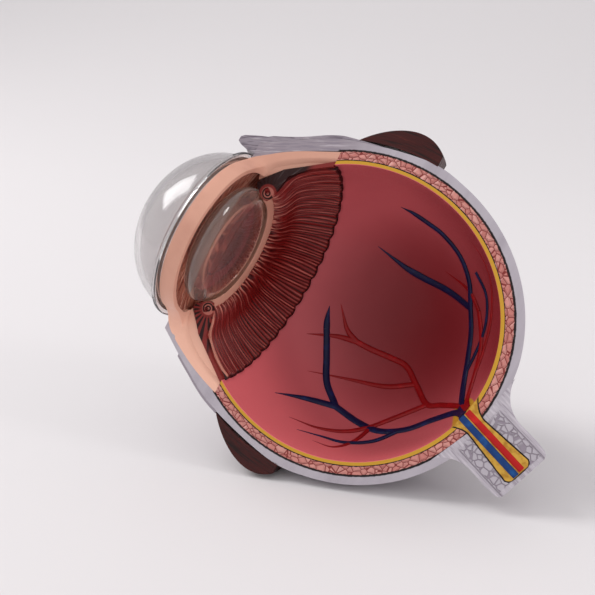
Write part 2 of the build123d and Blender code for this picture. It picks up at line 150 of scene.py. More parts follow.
def addPoled(name, line, material, steps=128, **extra):
    # an open line whose ends lie on the optical axis, turned a full turn with one point at each pole
    turns = np.linspace(0, 2 * np.pi, steps, endpoint=False)
    wall = turned(np.asarray(line)[1:-1], turns)
    count = len(line) - 2
    ends = stand(np.zeros(2), np.array([line[0][1], line[-1][1]]), np.zeros(2))
    points = np.vstack([wall.reshape(-1, 3), ends])
    faces = gridFaces(steps, count, closedRows=True).tolist()
    ring = np.arange(steps)
    after = (ring + 1) % steps
    first, last = steps * count, steps * count + 1
    faces += np.stack([ring * count, after * count, np.full(steps, first)], 1).tolist()
    faces += np.stack([after * count + count - 1, ring * count + count - 1, np.full(steps, last)], 1).tolist()
    return addPiece(name, points, faces, material, **extra)


# Material building blocks

def tone(red, green, blue):
    # display colour 0-255 to linear
    shares = [((v / 255 + 0.055) / 1.055) ** 2.4 if v > 10 else v / 3294.6 for v in (red, green, blue)]
    return (*shares, 1.0)


def treeOf(*values):
    # the node tree of the first socket among the values
    return next(value.id_data for value in values if isinstance(value, bpy.types.NodeSocket))


def put(tree, kind, inputs=None, **settings):
    # a node with its settings, each input linked to a socket or set to a value
    node = tree.nodes.new(kind)
    for key, value in settings.items():
        setattr(node, key, value)
    for key, value in (inputs or {}).items():
        if isinstance(value, bpy.types.NodeSocket):
            tree.links.new(value, node.inputs[key])
        else:
            node.inputs[key].default_value = value
    return node


def calc(operation, first, second=0.0, third=0.0):
    # one arithmetic node; times, plus and minus below are its common forms
    tree = treeOf(first, second, third)
    return put(tree, "ShaderNodeMath", {0: first, 1: second, 2: third}, operation=operation).outputs[0]


def times(first, *others):
    for other in others:
        first = calc("MULTIPLY", first, other)
    return first


def plus(first, second):
    return calc("ADD", first, second)


def minus(first, second):
    return calc("SUBTRACT", first, second)


def reachOf(first, second):
    # square root of first^2 + second^2
    return calc("SQRT", plus(times(first, first), times(second, second)))


def between(value, low, high, outLow=0.0, outHigh=1.0):
    # smooth step of value from low to high
    return put(treeOf(value), "ShaderNodeMapRange", {0: value, 1: low, 2: high, 3: outLow, 4: outHigh},
               interpolation_type="SMOOTHSTEP").outputs[0]


def lineAt(value, middle, outer, inner):
    # a drawn line: full within inner of the middle, gone past outer
    return between(calc("ABSOLUTE", minus(value, middle)), outer, inner)


def centred(value, size):
    # a noise of 0 to 1 moved about zero and scaled
    return times(minus(value, 0.5), size)


def mixed(factor, first, second):
    return put(treeOf(factor), "ShaderNodeMix", {0: factor, 6: first, 7: second}, data_type="RGBA").outputs[2]


def layered(look, base, *layers):
    # colours laid over the base one after another, each given as (mask, name in the look) or, where the mask
    # is a smooth step of a value, as (value, name of its range, name)
    colour = look[base]
    for mask, *span, name in layers:
        colour = mixed(between(mask, *look[span[0]]) if span else mask, colour, look[name])
    return colour


def vector(x, y, z=0.0):
    return put(treeOf(x, y, z), "ShaderNodeCombineXYZ", {0: x, 1: y, 2: z}).outputs[0]


def noise(place, scale, detail=3.0, rough=0.55, warp=0.0):
    values = {"Vector": place, "Scale": scale, "Detail": detail, "Roughness": rough, "Distortion": warp}
    return put(treeOf(place), "ShaderNodeTexNoise", values).outputs[0]


def cells(place, scale, feature="DISTANCE_TO_EDGE", randomness=1.0):
    values = {"Vector": place, "Scale": scale, "Randomness": randomness}
    return put(treeOf(place), "ShaderNodeTexVoronoi", values, feature=feature)


def newGroup(name, inputs, outputs):
    # node group with its sockets, each given as (name, kind)
    tree = bpy.data.node_groups.new(name, "ShaderNodeTree")
    for label, kind in inputs:
        tree.interface.new_socket(name=label, in_out="INPUT", socket_type="NodeSocket" + kind)
    for label, kind in outputs:
        tree.interface.new_socket(name=label, in_out="OUTPUT", socket_type="NodeSocket" + kind)
    return tree, tree.nodes.new("NodeGroupInput"), tree.nodes.new("NodeGroupOutput")


def makeEyeFrame():
    # place = (p - centre) on the three axes of the eye, in millimetres; radius and turn about the optical
    # axis; shell = distance from the centre with the depth squeezed, so that each coat has one value
    tree, begin, end = newGroup("eyeFrame", [("Point", "Vector")],
                                [("Place", "Vector"), ("Lateral", "Float"), ("Forward", "Float"),
                                 ("Outward", "Float"), ("Radius", "Float"), ("Turn", "Float"),
                                 ("Shell", "Float")])
    moved = put(tree, "ShaderNodeVectorMath", {0: begin.outputs[0], 1: tuple(centre / 1000)},
                operation="SUBTRACT").outputs[0]
    parts = [put(tree, "ShaderNodeVectorMath", {0: moved, 1: tuple(axis * 1000)},
                 operation="DOT_PRODUCT").outputs["Value"] for axis in (lateral, forward, outward)]
    radius = reachOf(parts[0], parts[2])
    turn = calc("ARCTAN2", times(parts[2], -1.0), parts[0])
    squeezed = times(parts[1], float(choroidSize[0] / choroidSize[1]))
    results = [vector(*parts), *parts, radius, turn, reachOf(radius, squeezed)]
    for index, socket in enumerate(results):
        tree.links.new(socket, end.inputs[index])
    return tree


def makeHandPaint():
    # brushed variation of a paint: a broad and a fine noise lighten and darken it, the fine one lifts it
    look = {"broad": (0.12, 4.0, 0.6), "fine": (1.6, 3.0, 0.6), "broadShare": 1.6, "fineShare": 0.5}
    tree, begin, end = newGroup("handPaint", [("Color", "Color"), ("Place", "Vector"), ("Amount", "Float")],
                                [("Color", "Color"), ("Height", "Float")])
    broad = noise(begin.outputs["Place"], *look["broad"])
    fine = noise(begin.outputs["Place"], *look["fine"])
    shift = plus(centred(broad, look["broadShare"]), centred(fine, look["fineShare"]))
    value = plus(1.0, times(shift, begin.outputs["Amount"]))
    shaded = put(tree, "ShaderNodeHueSaturation", {"Value": value, "Color": begin.outputs["Color"]})
    tree.links.new(shaded.outputs[0], end.inputs[0])
    tree.links.new(fine, end.inputs[1])
    return tree


eyeFrame = makeEyeFrame()
handPaint = makeHandPaint()


def startMaterial(name):
    # new material and the eye's coordinates in it
    material = bpy.data.materials.new(name)
    material.use_nodes = True
    tree = material.node_tree
    point = put(tree, "ShaderNodeTexCoord").outputs["Object"]
    eye = put(tree, "ShaderNodeGroup", {0: point}, node_tree=eyeFrame)
    return material, eye.outputs


finish = {"brushHeight": 0.12, "glossRange": (0.3, 0.7), "glossier": 0.05, "duller": 0.07, "specular": 0.28,
          "coatRoughness": 0.2}


def finishMaterial(material, colour, eye, height=None, roughness=0.4, amount=0.12, bump=0.25,
                   depth=0.0003, coat=0.0):
    # colour through the brush group, relief from the pattern's height and the brush, slightly varied gloss
    tree = material.node_tree
    shader = tree.nodes["Principled BSDF"]
    brush = put(tree, "ShaderNodeGroup", {"Color": colour, "Place": eye["Place"], "Amount": amount},
                node_tree=handPaint)
    tree.links.new(brush.outputs["Color"], shader.inputs["Base Color"])
    level = times(brush.outputs["Height"], finish["brushHeight"])
    if height is not None:
        level = plus(level, height)
    lifted = put(tree, "ShaderNodeBump", {"Strength": bump, "Distance": depth, "Height": level}).outputs[0]
    tree.links.new(lifted, shader.inputs["Normal"])
    gloss = between(brush.outputs["Height"], *finish["glossRange"], roughness - finish["glossier"],
                    roughness + finish["duller"])
    tree.links.new(gloss, shader.inputs["Roughness"])
    shader.inputs["Specular IOR Level"].default_value = finish["specular"]
    shader.inputs["Coat Weight"].default_value = coat
    shader.inputs["Coat Roughness"].default_value = finish["coatRoughness"]
    return material


# Paints of this model; in each look a pair is the low and high end of a smooth step

def scaled(value, size, base):
    # value * size + base
    return calc("MULTIPLY_ADD", value, size, base)


def zone(eye, spans, *others):
    # product of smooth steps: of the eye's coordinates by name, and of other values as (value, low, high)
    steps = [between(eye[name], *span) for name, span in spans.items()]
    return times(*[between(*other) for other in others], *steps)


def slanted(eye, lateralShare, forwardShare):
    # lateral * share + forward * share
    return scaled(eye["Lateral"], lateralShare, times(eye["Forward"], forwardShare))


def streaks(eye, turnScale, forwardScale, grain):
    # noise of turn and forward, each on its own scale, so that it runs out into lines along the eye
    spot = vector(times(eye["Turn"], turnScale), times(eye["Forward"], forwardScale))
    return noise(spot, *grain)


def wobbledShell(eye, scale, size):
    # shell distance + noise about zero, for borders drawn by hand
    return plus(eye["Shell"], centred(noise(eye["Place"], scale), size))


def strandsOf(eye, depth, turnScale):
    # fibres along the eye, split in depth on the cut face only
    look = {"face": (-0.5, -0.2), "forward": 0.07, "grain": (1.0, 3.0, 0.6, 0.3)}
    layered = times(depth, between(eye["Outward"], *look["face"]))
    spot = vector(layered, times(eye["Turn"], turnScale), times(eye["Forward"], look["forward"]))
    return noise(spot, *look["grain"])


def cutFibres(eye):
    # dark and light lines on the cut face ahead of the ora: noise drawn out along the border of the frame
    look = {"across": (0.905, 0.425), "down": (-0.0425, 0.0905), "pitch": 1.5, "grain": (1.0, 3.0, 0.6, 0.2),
            "face": {"Outward": (-0.4, -0.1), "Forward": (17.0, 24.0), "Lateral": (5.0, 12.0)},
            "dark": (0.5, 0.42), "light": (0.56, 0.64), "darkShare": 0.8, "lightShare": 0.7}
    across = times(slanted(eye, *look["across"]), look["pitch"])
    lines = noise(vector(across, slanted(eye, *look["down"]), 3.0), *look["grain"])
    face = zone(eye, look["face"])
    return (times(between(lines, *look["dark"]), face, look["darkShare"]),
            times(between(lines, *look["light"]), face, look["lightShare"]))


def scleraPaint():
    # streaked grey, darker on the lateral front; fibres and a dark line at the choroid on the cut face
    look = {"body": tone(182, 174, 182), "deep": tone(138, 128, 139), "line": tone(26, 16, 18),
            "stria": tone(190, 180, 188), "front": tone(154, 143, 151),
            "strands": (9.0, 0.09, (1.4, 4.0, 0.6)), "deepened": (0.4, 0.8, 0.0, 0.55),
            "ahead": {"Forward": (8.0, 24.0), "Lateral": (10.0, 20.0)}, "raised": 0.6, "wobble": (0.9, 0.35),
            "border": (42.25, 42.05), "cut": {"Outward": (-0.35, -0.15), "Forward": (22.4, 21.6)},
            "finish": {"roughness": 0.42, "amount": 0.06, "bump": 0.3}}
    material, eye = startMaterial("scleraPaint")
    strands = streaks(eye, *look["strands"])
    dark, light = cutFibres(eye)
    height = plus(strands, times(light, look["raised"]))
    cut = zone(eye, look["cut"], (wobbledShell(eye, *look["wobble"]), *look["border"]))
    colour = layered(look, "body", (strands, "deepened", "deep"), (zone(eye, look["ahead"]), "front"),
                     (dark, "deep"), (light, "stria"), (cut, "line"))
    return finishMaterial(material, colour, eye, height, **look["finish"])


def choroidPaint():
    # stone-like cells wrapped round the coat, with a dark line along each of its borders
    look = {"cell": tone(196, 118, 110), "light": tone(216, 150, 140), "crack": tone(128, 46, 42),
            "line": tone(20, 8, 8), "girth": 41.0, "pitch": 1.9, "layers": 0.72, "split": (0.08, 0.02),
            "wobble": (1.3, 0.5), "inner": (39.65, 39.45), "outer": (41.5, 41.68), "rise": (0.0, 0.3),
            "finish": {"roughness": 0.36, "amount": 0.1, "bump": 0.9, "depth": 0.0004}}
    material, eye = startMaterial("choroidPaint")
    around = times(calc("ARCTAN2", eye["Lateral"], eye["Forward"]), look["girth"] / look["pitch"])
    spot = vector(around, times(eye["Shell"], look["layers"]))
    split = cells(spot, 1.0).outputs["Distance"]
    tint = cells(spot, 1.0, "F1").outputs["Color"]
    shade = put(treeOf(tint), "ShaderNodeSeparateColor", {0: tint}).outputs[0]
    border = wobbledShell(eye, *look["wobble"])
    lines = calc("MAXIMUM", between(border, *look["inner"]), between(border, *look["outer"]))
    colour = layered(look, "cell", (shade, "light"), (split, "split", "crack"), (lines, "line"))
    return finishMaterial(material, colour, eye, between(split, *look["rise"]), **look["finish"])


def retinaPaint():
    # from dark red in the depth to pink at the edge, partly the retina's own colour and partly painted shade
    # in the bowl, with an ochre line round the rim and the nerve; shallow = outward + 0.35 forward + 36 -
    # 0.12 lateral
    # + noise, less up to 16 on the lateral wall, where the drop is painted shade under the rim
    look = {"pink": tone(234, 114, 120), "rose": tone(196, 92, 98), "wine": tone(152, 56, 62),
            "edge": tone(200, 150, 42), "deep": tone(116, 6, 18), "forward": (0.35, 36.0), "lateral": -0.12,
            "cloud": (0.05, 3.0, -1.5), "wall": {"Outward": (-24.0, -4.0), "Lateral": (-12.0, 12.0)},
            "wallShadeDrop": -16.0, "toWine": (-9.0, 5.0), "toRose": (0.0, 14.0), "toPink": (15.0, 29.0),
            "rim": {"Outward": (-0.12, -0.04), "Shell": (38.35, 38.5)}, "mouth": (-8.6, -39.9),
            "mouthLine": (4.6, 4.1),
            "finish": {"roughness": 0.45, "amount": 0.04, "bump": 0.05, "depth": 0.0002, "coat": 0.06}}
    material, eye = startMaterial("retinaPaint")
    shallow = plus(scaled(eye["Forward"], *look["forward"]), eye["Outward"])
    shallow = scaled(eye["Lateral"], look["lateral"], shallow)
    cloud = noise(eye["Place"], look["cloud"][0])
    shallow = plus(shallow, scaled(cloud, *look["cloud"][1:]))
    # painted shade: the lateral wall near the cut face is pushed darker
    shallow = scaled(zone(eye, look["wall"]), look["wallShadeDrop"], shallow)
    reach = reachOf(minus(eye["Lateral"], look["mouth"][0]), minus(eye["Forward"], look["mouth"][1]))
    rim = calc("MAXIMUM", zone(eye, look["rim"]), between(reach, *look["mouthLine"]))
    colour = layered(look, "deep", (shallow, "toWine", "wine"), (shallow, "toRose", "rose"),
                     (shallow, "toPink", "pink"), (rim, "edge"))
    return finishMaterial(material, colour, eye, **look["finish"])


def framePaint():
    # peach with darker patches, and a painted highlight that makes the medial side lighter
    look = {"body": tone(212, 158, 137), "shade": tone(184, 127, 109), "light": tone(238, 184, 161),
            "patch": (0.08, 3.0), "patches": (0.45, 0.85, 0.0, 0.6), "medial": (-14.0, -27.0),
            "finish": {"roughness": 0.4, "amount": 0.06, "bump": 0.05}}
    material, eye = startMaterial("framePaint")
    patch = noise(eye["Place"], *look["patch"])
    # painted highlight: the medial side of the frame is made lighter
    colour = layered(look, "body", (patch, "patches", "shade"), (eye["Lateral"], "medial", "light"))
    return finishMaterial(material, colour, eye, **look["finish"])


def irisPaint():
    # spokes from a noise of turn and radius, darkening to a black ring with petals round the pupil
    look = {"base": tone(168, 104, 86), "light": tone(230, 182, 162), "dark": tone(112, 46, 38),
            "inner": tone(62, 16, 28), "ring": tone(6, 2, 4), "spokes": (26.0, 0.16),
            "grain": (1.0, 4.0, 0.65, 0.6), "toBase": (0.35, 0.5), "toLight": (0.52, 0.72),
            "toInner": (14.0, 10.5, 0.0, 0.85), "petals": 3.0, "toRing": (10.4, 8.8),
            "finish": {"roughness": 0.3, "amount": 0.08, "bump": 0.6, "depth": 0.0004, "coat": 0.2}}
    material, eye = startMaterial("irisPaint")
    spokes = vector(times(eye["Turn"], look["spokes"][0]), times(eye["Radius"], look["spokes"][1]))
    streak = noise(spokes, *look["grain"])
    petals = plus(eye["Radius"], times(streak, look["petals"]))
    colour = layered(look, "dark", (streak, "toBase", "base"), (streak, "toLight", "light"),
                     (eye["Radius"], "toInner", "inner"), (petals, "toRing", "ring"))
    return finishMaterial(material, colour, eye, streak, **look["finish"])


def foldPaint():
    # coloured by the height of the folds, which the mesh carries, and paler towards the lens; the dark
    # valleys are partly painted shade in the crevices and the light crests partly a painted highlight
    look = {"valleyAndShade": tone(54, 4, 5), "ridgeAndHighlight": tone(190, 102, 92), "pale": tone(224, 150, 130),
            "edge": tone(46, 4, 6), "body": tone(124, 25, 23), "scratch": (55.0, 0.22, (1.0, 3.0, 0.6)),
            "scratchShare": 0.5, "toBody": (0.1, 0.55), "toRidge": (0.62, 1.05), "nearLens": (0.74, 0.97),
            "highest": (0.45, 0.9), "medialEnd": (3.035, 3.06), "endShare": 0.75, "toEdge": (0.06, 0.01),
            "finish": {"roughness": 0.38, "amount": 0.1, "bump": 0.35, "depth": 0.0003, "coat": 0.04}}
    material, eye = startMaterial("foldPaint")
    crest, along = (put(material.node_tree, "ShaderNodeAttribute", attribute_name=label).outputs["Fac"]
                    for label in ("crest", "along"))
    scratch = streaks(eye, *look["scratch"])
    level = plus(crest, centred(scratch, look["scratchShare"]))
    tips = times(between(along, *look["nearLens"]), between(level, *look["highest"]))
    border = times(between(eye["Turn"], *look["medialEnd"]), look["endShare"])
    # painted shade darkens the low folds and a painted highlight lightens the crests, over their own dark red
    colour = layered(look, "valleyAndShade", (level, "toBody", "body"), (level, "toRidge", "ridgeAndHighlight"), (tips, "pale"),
                     (border, "pale"), (along, "toEdge", "edge"))
    return finishMaterial(material, colour, eye, scratch, **look["finish"])


def musclePaint(name="musclePaint", body=(60, 9, 7), light=(104, 34, 24), dark=(26, 3, 2)):
    # fibres in three tones
    look = {"body": tone(*body), "light": tone(*light), "dark": tone(*dark), "layers": 1.3, "turns": 34.0,
            "toBody": (0.36, 0.5), "toLight": (0.6, 0.72, 0.0, 0.8),
            "finish": {"roughness": 0.46, "amount": 0.08, "bump": 0.6, "depth": 0.0005, "coat": 0.03}}
    material, eye = startMaterial(name)
    strand = strandsOf(eye, times(eye["Shell"], look["layers"]), look["turns"])
    colour = layered(look, "dark", (strand, "toBody", "body"), (strand, "toLight", "light"))
    return finishMaterial(material, colour, eye, strand, **look["finish"])


def ciliaryMusclePaint():
    # cut ends of the muscle: a small ringed canal, a hooked line on the lens side of it, fibres fanning out
    # on the medial side and a dark patch of painted shade on the lateral one
    look = {"body": tone(126, 38, 34), "dark": tone(38, 5, 5), "pale": tone(180, 104, 92),
            "centre": (17.6, 34.1), "medial": (1.0, -1.0), "rays": 20.0, "fan": (-0.3, 0.4),
            "fanReach": (2.0, 3.0), "fanAhead": {"Forward": (27.0, 29.5)}, "shadeReach": (2.3, 2.7),
            "shadeAhead": {"Forward": (25.5, 28.0)}, "canal": (1.9, 1.6), "ring": (0.62, 0.3, 0.16),
            "hook": (1.4, 0.3, 0.16), "lensSide": (0.6, 0.8), "hookSide": (-1.0, -0.6),
            "finish": {"roughness": 0.45, "amount": 0.05, "bump": 0.4, "depth": 0.0003}}
    material, eye = startMaterial("ciliaryMusclePaint")
    side = minus(calc("ABSOLUTE", eye["Lateral"]), look["centre"][0])
    front = minus(eye["Forward"], look["centre"][1])
    reach = reachOf(side, front)
    medial = between(eye["Lateral"], *look["medial"])
    rays = calc("SINE", times(calc("ARCTAN2", front, side), look["rays"]))
    fan = zone(eye, look["fanAhead"], (rays, *look["fan"]), (reach, *look["fanReach"]))
    # painted shade: a dark patch over the lateral cut end
    lateralShade = zone(eye, look["shadeAhead"], (reach, *look["shadeReach"]))
    lensSide = minus(times(front, look["lensSide"][0]), times(side, look["lensSide"][1]))
    hook = times(lineAt(reach, *look["hook"]), between(lensSide, *look["hookSide"]))
    ink = calc("MAXIMUM", lineAt(reach, *look["ring"]), hook)
    colour = layered(look, "body", (reach, "canal", "pale"), (times(fan, medial), "dark"),
                     (times(lateralShade, minus(1.0, medial)), "dark"), (ink, "dark"))
    return finishMaterial(material, colour, eye, fan, **look["finish"])


def tendonPaint():
    # grey fibres, fading out at the cut face where the lines of the sclera run on
    look = {"body": tone(150, 140, 149), "light": tone(188, 178, 186), "dark": tone(100, 88, 100),
            "layers": 2.6, "turns": 46.0, "behind": (-0.1, -0.4), "toDark": (0.5, 0.34),
            "toLight": (0.56, 0.72), "raised": 0.6,
            "finish": {"roughness": 0.42, "amount": 0.06, "bump": 0.7, "depth": 0.0005}}
    material, eye = startMaterial("tendonPaint")
    strand = strandsOf(eye, times(eye["Radius"], look["layers"]), look["turns"])
    behind = between(eye["Outward"], *look["behind"])
    shade = times(between(strand, *look["toDark"]), behind)
    shine = times(between(strand, *look["toLight"]), behind)
    dark, light = cutFibres(eye)
    colour = layered(look, "body", (shade, "dark"), (shine, "light"), (dark, "dark"), (light, "light"))
    height = plus(times(strand, behind), times(light, look["raised"]))
    return finishMaterial(material, colour, eye, height, **look["finish"])


nerve = {"root": (-8.0, -40.8), "angle": 17.6, "length": 18.3, "coreRoot": 2.6, "coreEnd": 4.3,
         "sheath": 8.5, "sheathLength": 19.4, "funnel": 0.1, "funnelStart": 3.4, "flareStart": 9.5}
nerveAngle = math.radians(nerve["angle"])
nerveAlong = np.array([-math.sin(nerveAngle), -math.cos(nerveAngle)])
nerveSide = np.array([math.cos(nerveAngle), -math.sin(nerveAngle)])   # towards the lateral side


def nerveCoordinates(eye):
    # distance along the nerve and to its side, in the plane of the cut face: (place - root) . axis
    x = minus(eye["Lateral"], nerve["root"][0])
    y = minus(eye["Forward"], nerve["root"][1])
    return [plus(times(x, float(axis[0])), times(y, float(axis[1]))) for axis in (nerveAlong, nerveSide)]


def coreEdgeAt(along, side):
    # distance outside the yellow core: |side| - (root + slope along + funnel max(0, start - along)^2)
    slope = (nerve["coreEnd"] - nerve["coreRoot"]) / nerve["length"]
    opened = calc("MAXIMUM", minus(nerve["funnelStart"], along), 0.0)
    radius = plus(scaled(along, slope, nerve["coreRoot"]), times(opened, opened, nerve["funnel"]))
    return minus(calc("ABSOLUTE", side), radius)


def sheathPaint():
    # grey with a net of cells on the cut face between two drawn rails, and a soft flow along the nerve
    look = {"body": tone(182, 174, 182), "line": tone(146, 135, 146), "light": tone(200, 192, 199),
            "face": (-0.3, -0.1), "inside": (6.9, 6.6), "root": (3.2, 4.6), "end": (18.4, 18.0),
            "stretch": 0.9, "cells": 0.62, "uneven": 0.8, "crack": (0.1, 0.03), "rail": (7.1, 0.22, 0.06),
            "railRoot": (3.0, 5.0), "railShare": 0.9, "flow": (0.12, 1.4), "toLight": (0.5, 0.66),
            "toLine": (0.46, 0.38), "lineShare": 0.6, "plain": (0.4, 1.0), "raised": 0.4,
            "finish": {"roughness": 0.42, "amount": 0.06, "bump": 0.8, "depth": 0.0004}}
    material, eye = startMaterial("sheathPaint")
    along, side = nerveCoordinates(eye)
    face = between(eye["Outward"], *look["face"])
    gap = calc("ABSOLUTE", side)
    netZone = times(between(gap, *look["inside"]), between(along, *look["root"]),
                    between(along, *look["end"]))
    spot = vector(times(along, look["stretch"]), side)
    net = cells(spot, look["cells"], randomness=look["uneven"]).outputs["Distance"]
    crack = times(between(net, *look["crack"]), netZone, face)
    rail = times(lineAt(gap, *look["rail"]), between(along, *look["railRoot"]), face)
    drift = vector(times(along, look["flow"][0]), times(gap, look["flow"][1]))
    flow = noise(drift, 1.0)
    mark = calc("MAXIMUM", crack, times(rail, look["railShare"]))
    colour = layered(look, "body", (flow, "toLight", "light"),
                     (times(between(flow, *look["toLine"]), look["lineShare"]), "line"),
                     (between(netZone, *look["plain"]), "body"), (mark, "line"))
    height = minus(times(flow, look["raised"]), mark)
    return finishMaterial(material, colour, eye, height, **look["finish"])


def corePaint():
    # ochre with a dark ink line along its edge and round its end, left out inside the bowl
    look = {"body": tone(206, 160, 62), "deep": tone(172, 122, 34), "ink": tone(26, 14, 10), "patch": 0.5,
            "toDeep": (0.4, 0.7), "waver": 0.3, "roundFrom": 16.6, "roundShare": 0.55, "edge": (-0.3, -0.2),
            "end": (17.95, 18.1), "bowl": (38.3, 38.7),
            "finish": {"roughness": 0.4, "amount": 0.08, "bump": 0.3}}
    material, eye = startMaterial("corePaint")
    along, side = nerveCoordinates(eye)
    patch = noise(eye["Place"], look["patch"])
    edge = plus(coreEdgeAt(along, side), times(patch, look["waver"]))
    past = calc("MAXIMUM", minus(along, look["roundFrom"]), 0.0)
    edge = plus(edge, times(past, past, look["roundShare"]))
    ink = calc("MAXIMUM", between(edge, *look["edge"]), between(along, *look["end"]))
    ink = times(ink, between(eye["Shell"], *look["bowl"]))
    colour = layered(look, "body", (patch, "toDeep", "deep"), (ink, "ink"))
    return finishMaterial(material, colour, eye, **look["finish"])


def vesselPaint(name, colour, light):
    # one colour with lighter patches
    look = {"patch": (0.35, 2.0), "toLight": (0.5, 0.8),
            "finish": {"roughness": 0.45, "amount": 0.1, "bump": 0.15, "depth": 0.0002, "coat": 0.03}}
    material, eye = startMaterial(name)
    patch = noise(eye["Place"], *look["patch"])
    tinted = mixed(between(patch, *look["toLight"]), tone(*colour), tone(*light))
    return finishMaterial(material, tinted, eye, **look["finish"])


def clearPlastic(name, look):
    # tinted clear plastic, a little smeared
    material = bpy.data.materials.new(name)
    material.use_nodes = True
    tree = material.node_tree
    shader = tree.nodes["Principled BSDF"]
    shader.inputs["Base Color"].default_value = look["tint"]
    shader.inputs["Transmission Weight"].default_value = look["clear"]
    shader.inputs["IOR"].default_value = look["ior"]
    shader.inputs["Coat Weight"].default_value = look["gloss"]
    point = put(tree, "ShaderNodeTexCoord").outputs["Object"]
    smear = between(noise(point, *look["smear"]), *look["smeared"], look["rough"], look["rough"] + 0.05)
    tree.links.new(smear, shader.inputs["Roughness"])
    # shadow rays pass through, tinted, so that what lies behind the clear piece is lit
    through = put(tree, "ShaderNodeBsdfTransparent", {"Color": look["shade"]}).outputs[0]
    rays = put(tree, "ShaderNodeLightPath").outputs["Is Shadow Ray"]
    both = put(tree, "ShaderNodeMixShader", {0: rays, 1: shader.outputs[0], 2: through}).outputs[0]
    tree.links.new(both, tree.nodes["Material Output"].inputs["Surface"])
    return material


lensLook = {"rough": 0.03, "tint": (0.99, 0.91, 0.86, 1), "ior": 1.34, "clear": 0.96,
            "shade": (0.95, 0.85, 0.8, 1), "gloss": 1.0, "smear": (60.0, 3.0), "smeared": (0.35, 0.75)}
corneaLook = {"rough": 0.03, "tint": (0.76, 0.74, 0.74, 1), "ior": 1.46, "clear": 0.97,
              "shade": (0.8, 0.8, 0.82, 1), "gloss": 0.0, "smear": (60.0, 3.0), "smeared": (0.35, 0.75)}
paints = {
    "sclera": scleraPaint(), "choroid": choroidPaint(), "retina": retinaPaint(), "frame": framePaint(),
    "iris": irisPaint(), "fold": foldPaint(), "muscle": musclePaint(), "ciliaryMuscle": ciliaryMusclePaint(),
    "tendon": tendonPaint(), "sheath": sheathPaint(), "core": corePaint(),
    "pupil": musclePaint("pupilPaint", (14, 8, 12), (26, 18, 24), (8, 4, 6)),
    "nerveRed": vesselPaint("nerveRedPaint", (176, 8, 8), (206, 30, 20)),
    "nerveBlue": vesselPaint("nerveBluePaint", (4, 52, 112), (20, 84, 150)),
    "retinalRed": vesselPaint("retinalRedPaint", (140, 4, 10), (168, 10, 18)),
    "retinalBlue": vesselPaint("retinalBluePaint", (5, 12, 58), (10, 32, 88)),
    "lensClear": clearPlastic("lensPlastic", lensLook),
    "corneaClear": clearPlastic("corneaPlastic", corneaLook),
}
nodePaints = {
    "sclera": ("sclera_shell",), "choroid": ("choroid_layer",), "retina": ("retina_layer",),
    "frame": ("front_frame", "lens_seat"), "iris": ("iris",), "pupil": ("pupil_disc",),
    "fold": ("ciliary_body",), "ciliaryMuscle": ("lateral_ciliary_muscle", "medial_ciliary_muscle"),
    "muscle": ("lateral_rectus", "medial_rectus", "inferior_rectus", "inferior_oblique"),
    "tendon": ("lateral_tendon", "medial_tendon"), "core": ("optic_nerve_core",), "sheath": ("nerve_sheath",),
    "nerveRed": ("nerve_artery",), "nerveBlue": ("nerve_vein",), "retinalBlue": ("retinal_veins",),
    "retinalRed": ("retinal_arteries", "arterial_circle"), "lensClear": ("lens",), "corneaClear": ("cornea",),
}
for paintName, nodeNames in nodePaints.items():
    for nodeName in nodeNames:
        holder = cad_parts[nodeName]
        if not holder.material_slots:
            holder.data.materials.append(paints[paintName])
        for place in holder.material_slots:
            place.material = paints[paintName]
print("paints made")


# Clear parts, turned smoothly

lensShape = {"radius": 17.3, "half": 5.2, "forward": 38.15}
lensLine = ovalLine((lensShape["radius"], lensShape["half"]), -90, 90, 60, lensShape["forward"])
lensLine[0, 0] = lensLine[-1, 0] = 0.0
addPoled("lensClear", lensLine, paints["lensClear"], body="lens", slotName="lens", nodes=("lens",))

corneaShape = {"dome": (23.6, 19.2), "wall": 1.5, "forward": 42.5, "flange": 24.8, "back": 43.0,
               "front": 44.2, "spigot": 21.2, "spigotWall": 0.9, "spigotLength": 1.2}


def corneaSection(shape):
    # outside of the dome, flange with eased corners, spigot, inside of the dome
    middle, flange, front, back = (shape[key] for key in ("forward", "flange", "front", "back"))
    foot = math.degrees(math.asin((front - middle) / shape["dome"][1]))
    outside = ovalLine(shape["dome"], 90, foot, 60, middle)
    inside = ovalLine(np.array(shape["dome"]) - shape["wall"], foot, 90, 60, middle)
    outer, inner = shape["spigot"], shape["spigot"] - shape["spigotWall"]
    end = back - shape["spigotLength"]
    skirt = [(flange - 0.4, front), (flange, front - 0.4), (flange, back + 0.3), (flange - 0.3, back),
             (outer, back), (outer, end), (inner, end), (inner, back)]
    line = np.vstack([outside, skirt, inside])
    line[0, 0] = line[-1, 0] = 0.0
    return line


corneaLine = corneaSection(corneaShape)
addPoled("corneaClear", corneaLine, paints["corneaClear"], body="cornea", slotName="cornea",
         nodes=("cornea",))
print("clear parts made")


# Coats of the globe

def outsideLine(extra=0.0, count=150):
    # back of the globe as an ellipse, then a smooth line over the shoulder and down the cone to the limbus
    back = ovalLine((globe["radius"] + extra, globe["depth"] + extra), -90, 0, 7)
    knots = np.vstack([back, np.array([globe["shoulder"], globe["cone"], globe["limbus"]]) + [extra, 0]])
    return smoothLine(knots, count)


def frameLine(count=24):
    # border between the sclera and the front frame
    knots = [(36.5, 21.2), (34.1, 26.2), (31.7, 31.2), (29.2, 35.7), (26.7, 39.2), (24.2, 42.8)]
    return smoothLine(knots, count)


def coatLine(size, count=110):
    # ellipse from the back pole to the ora
    return ovalLine(size, -90, math.degrees(math.asin(globe["ora"] / size[1])), count)


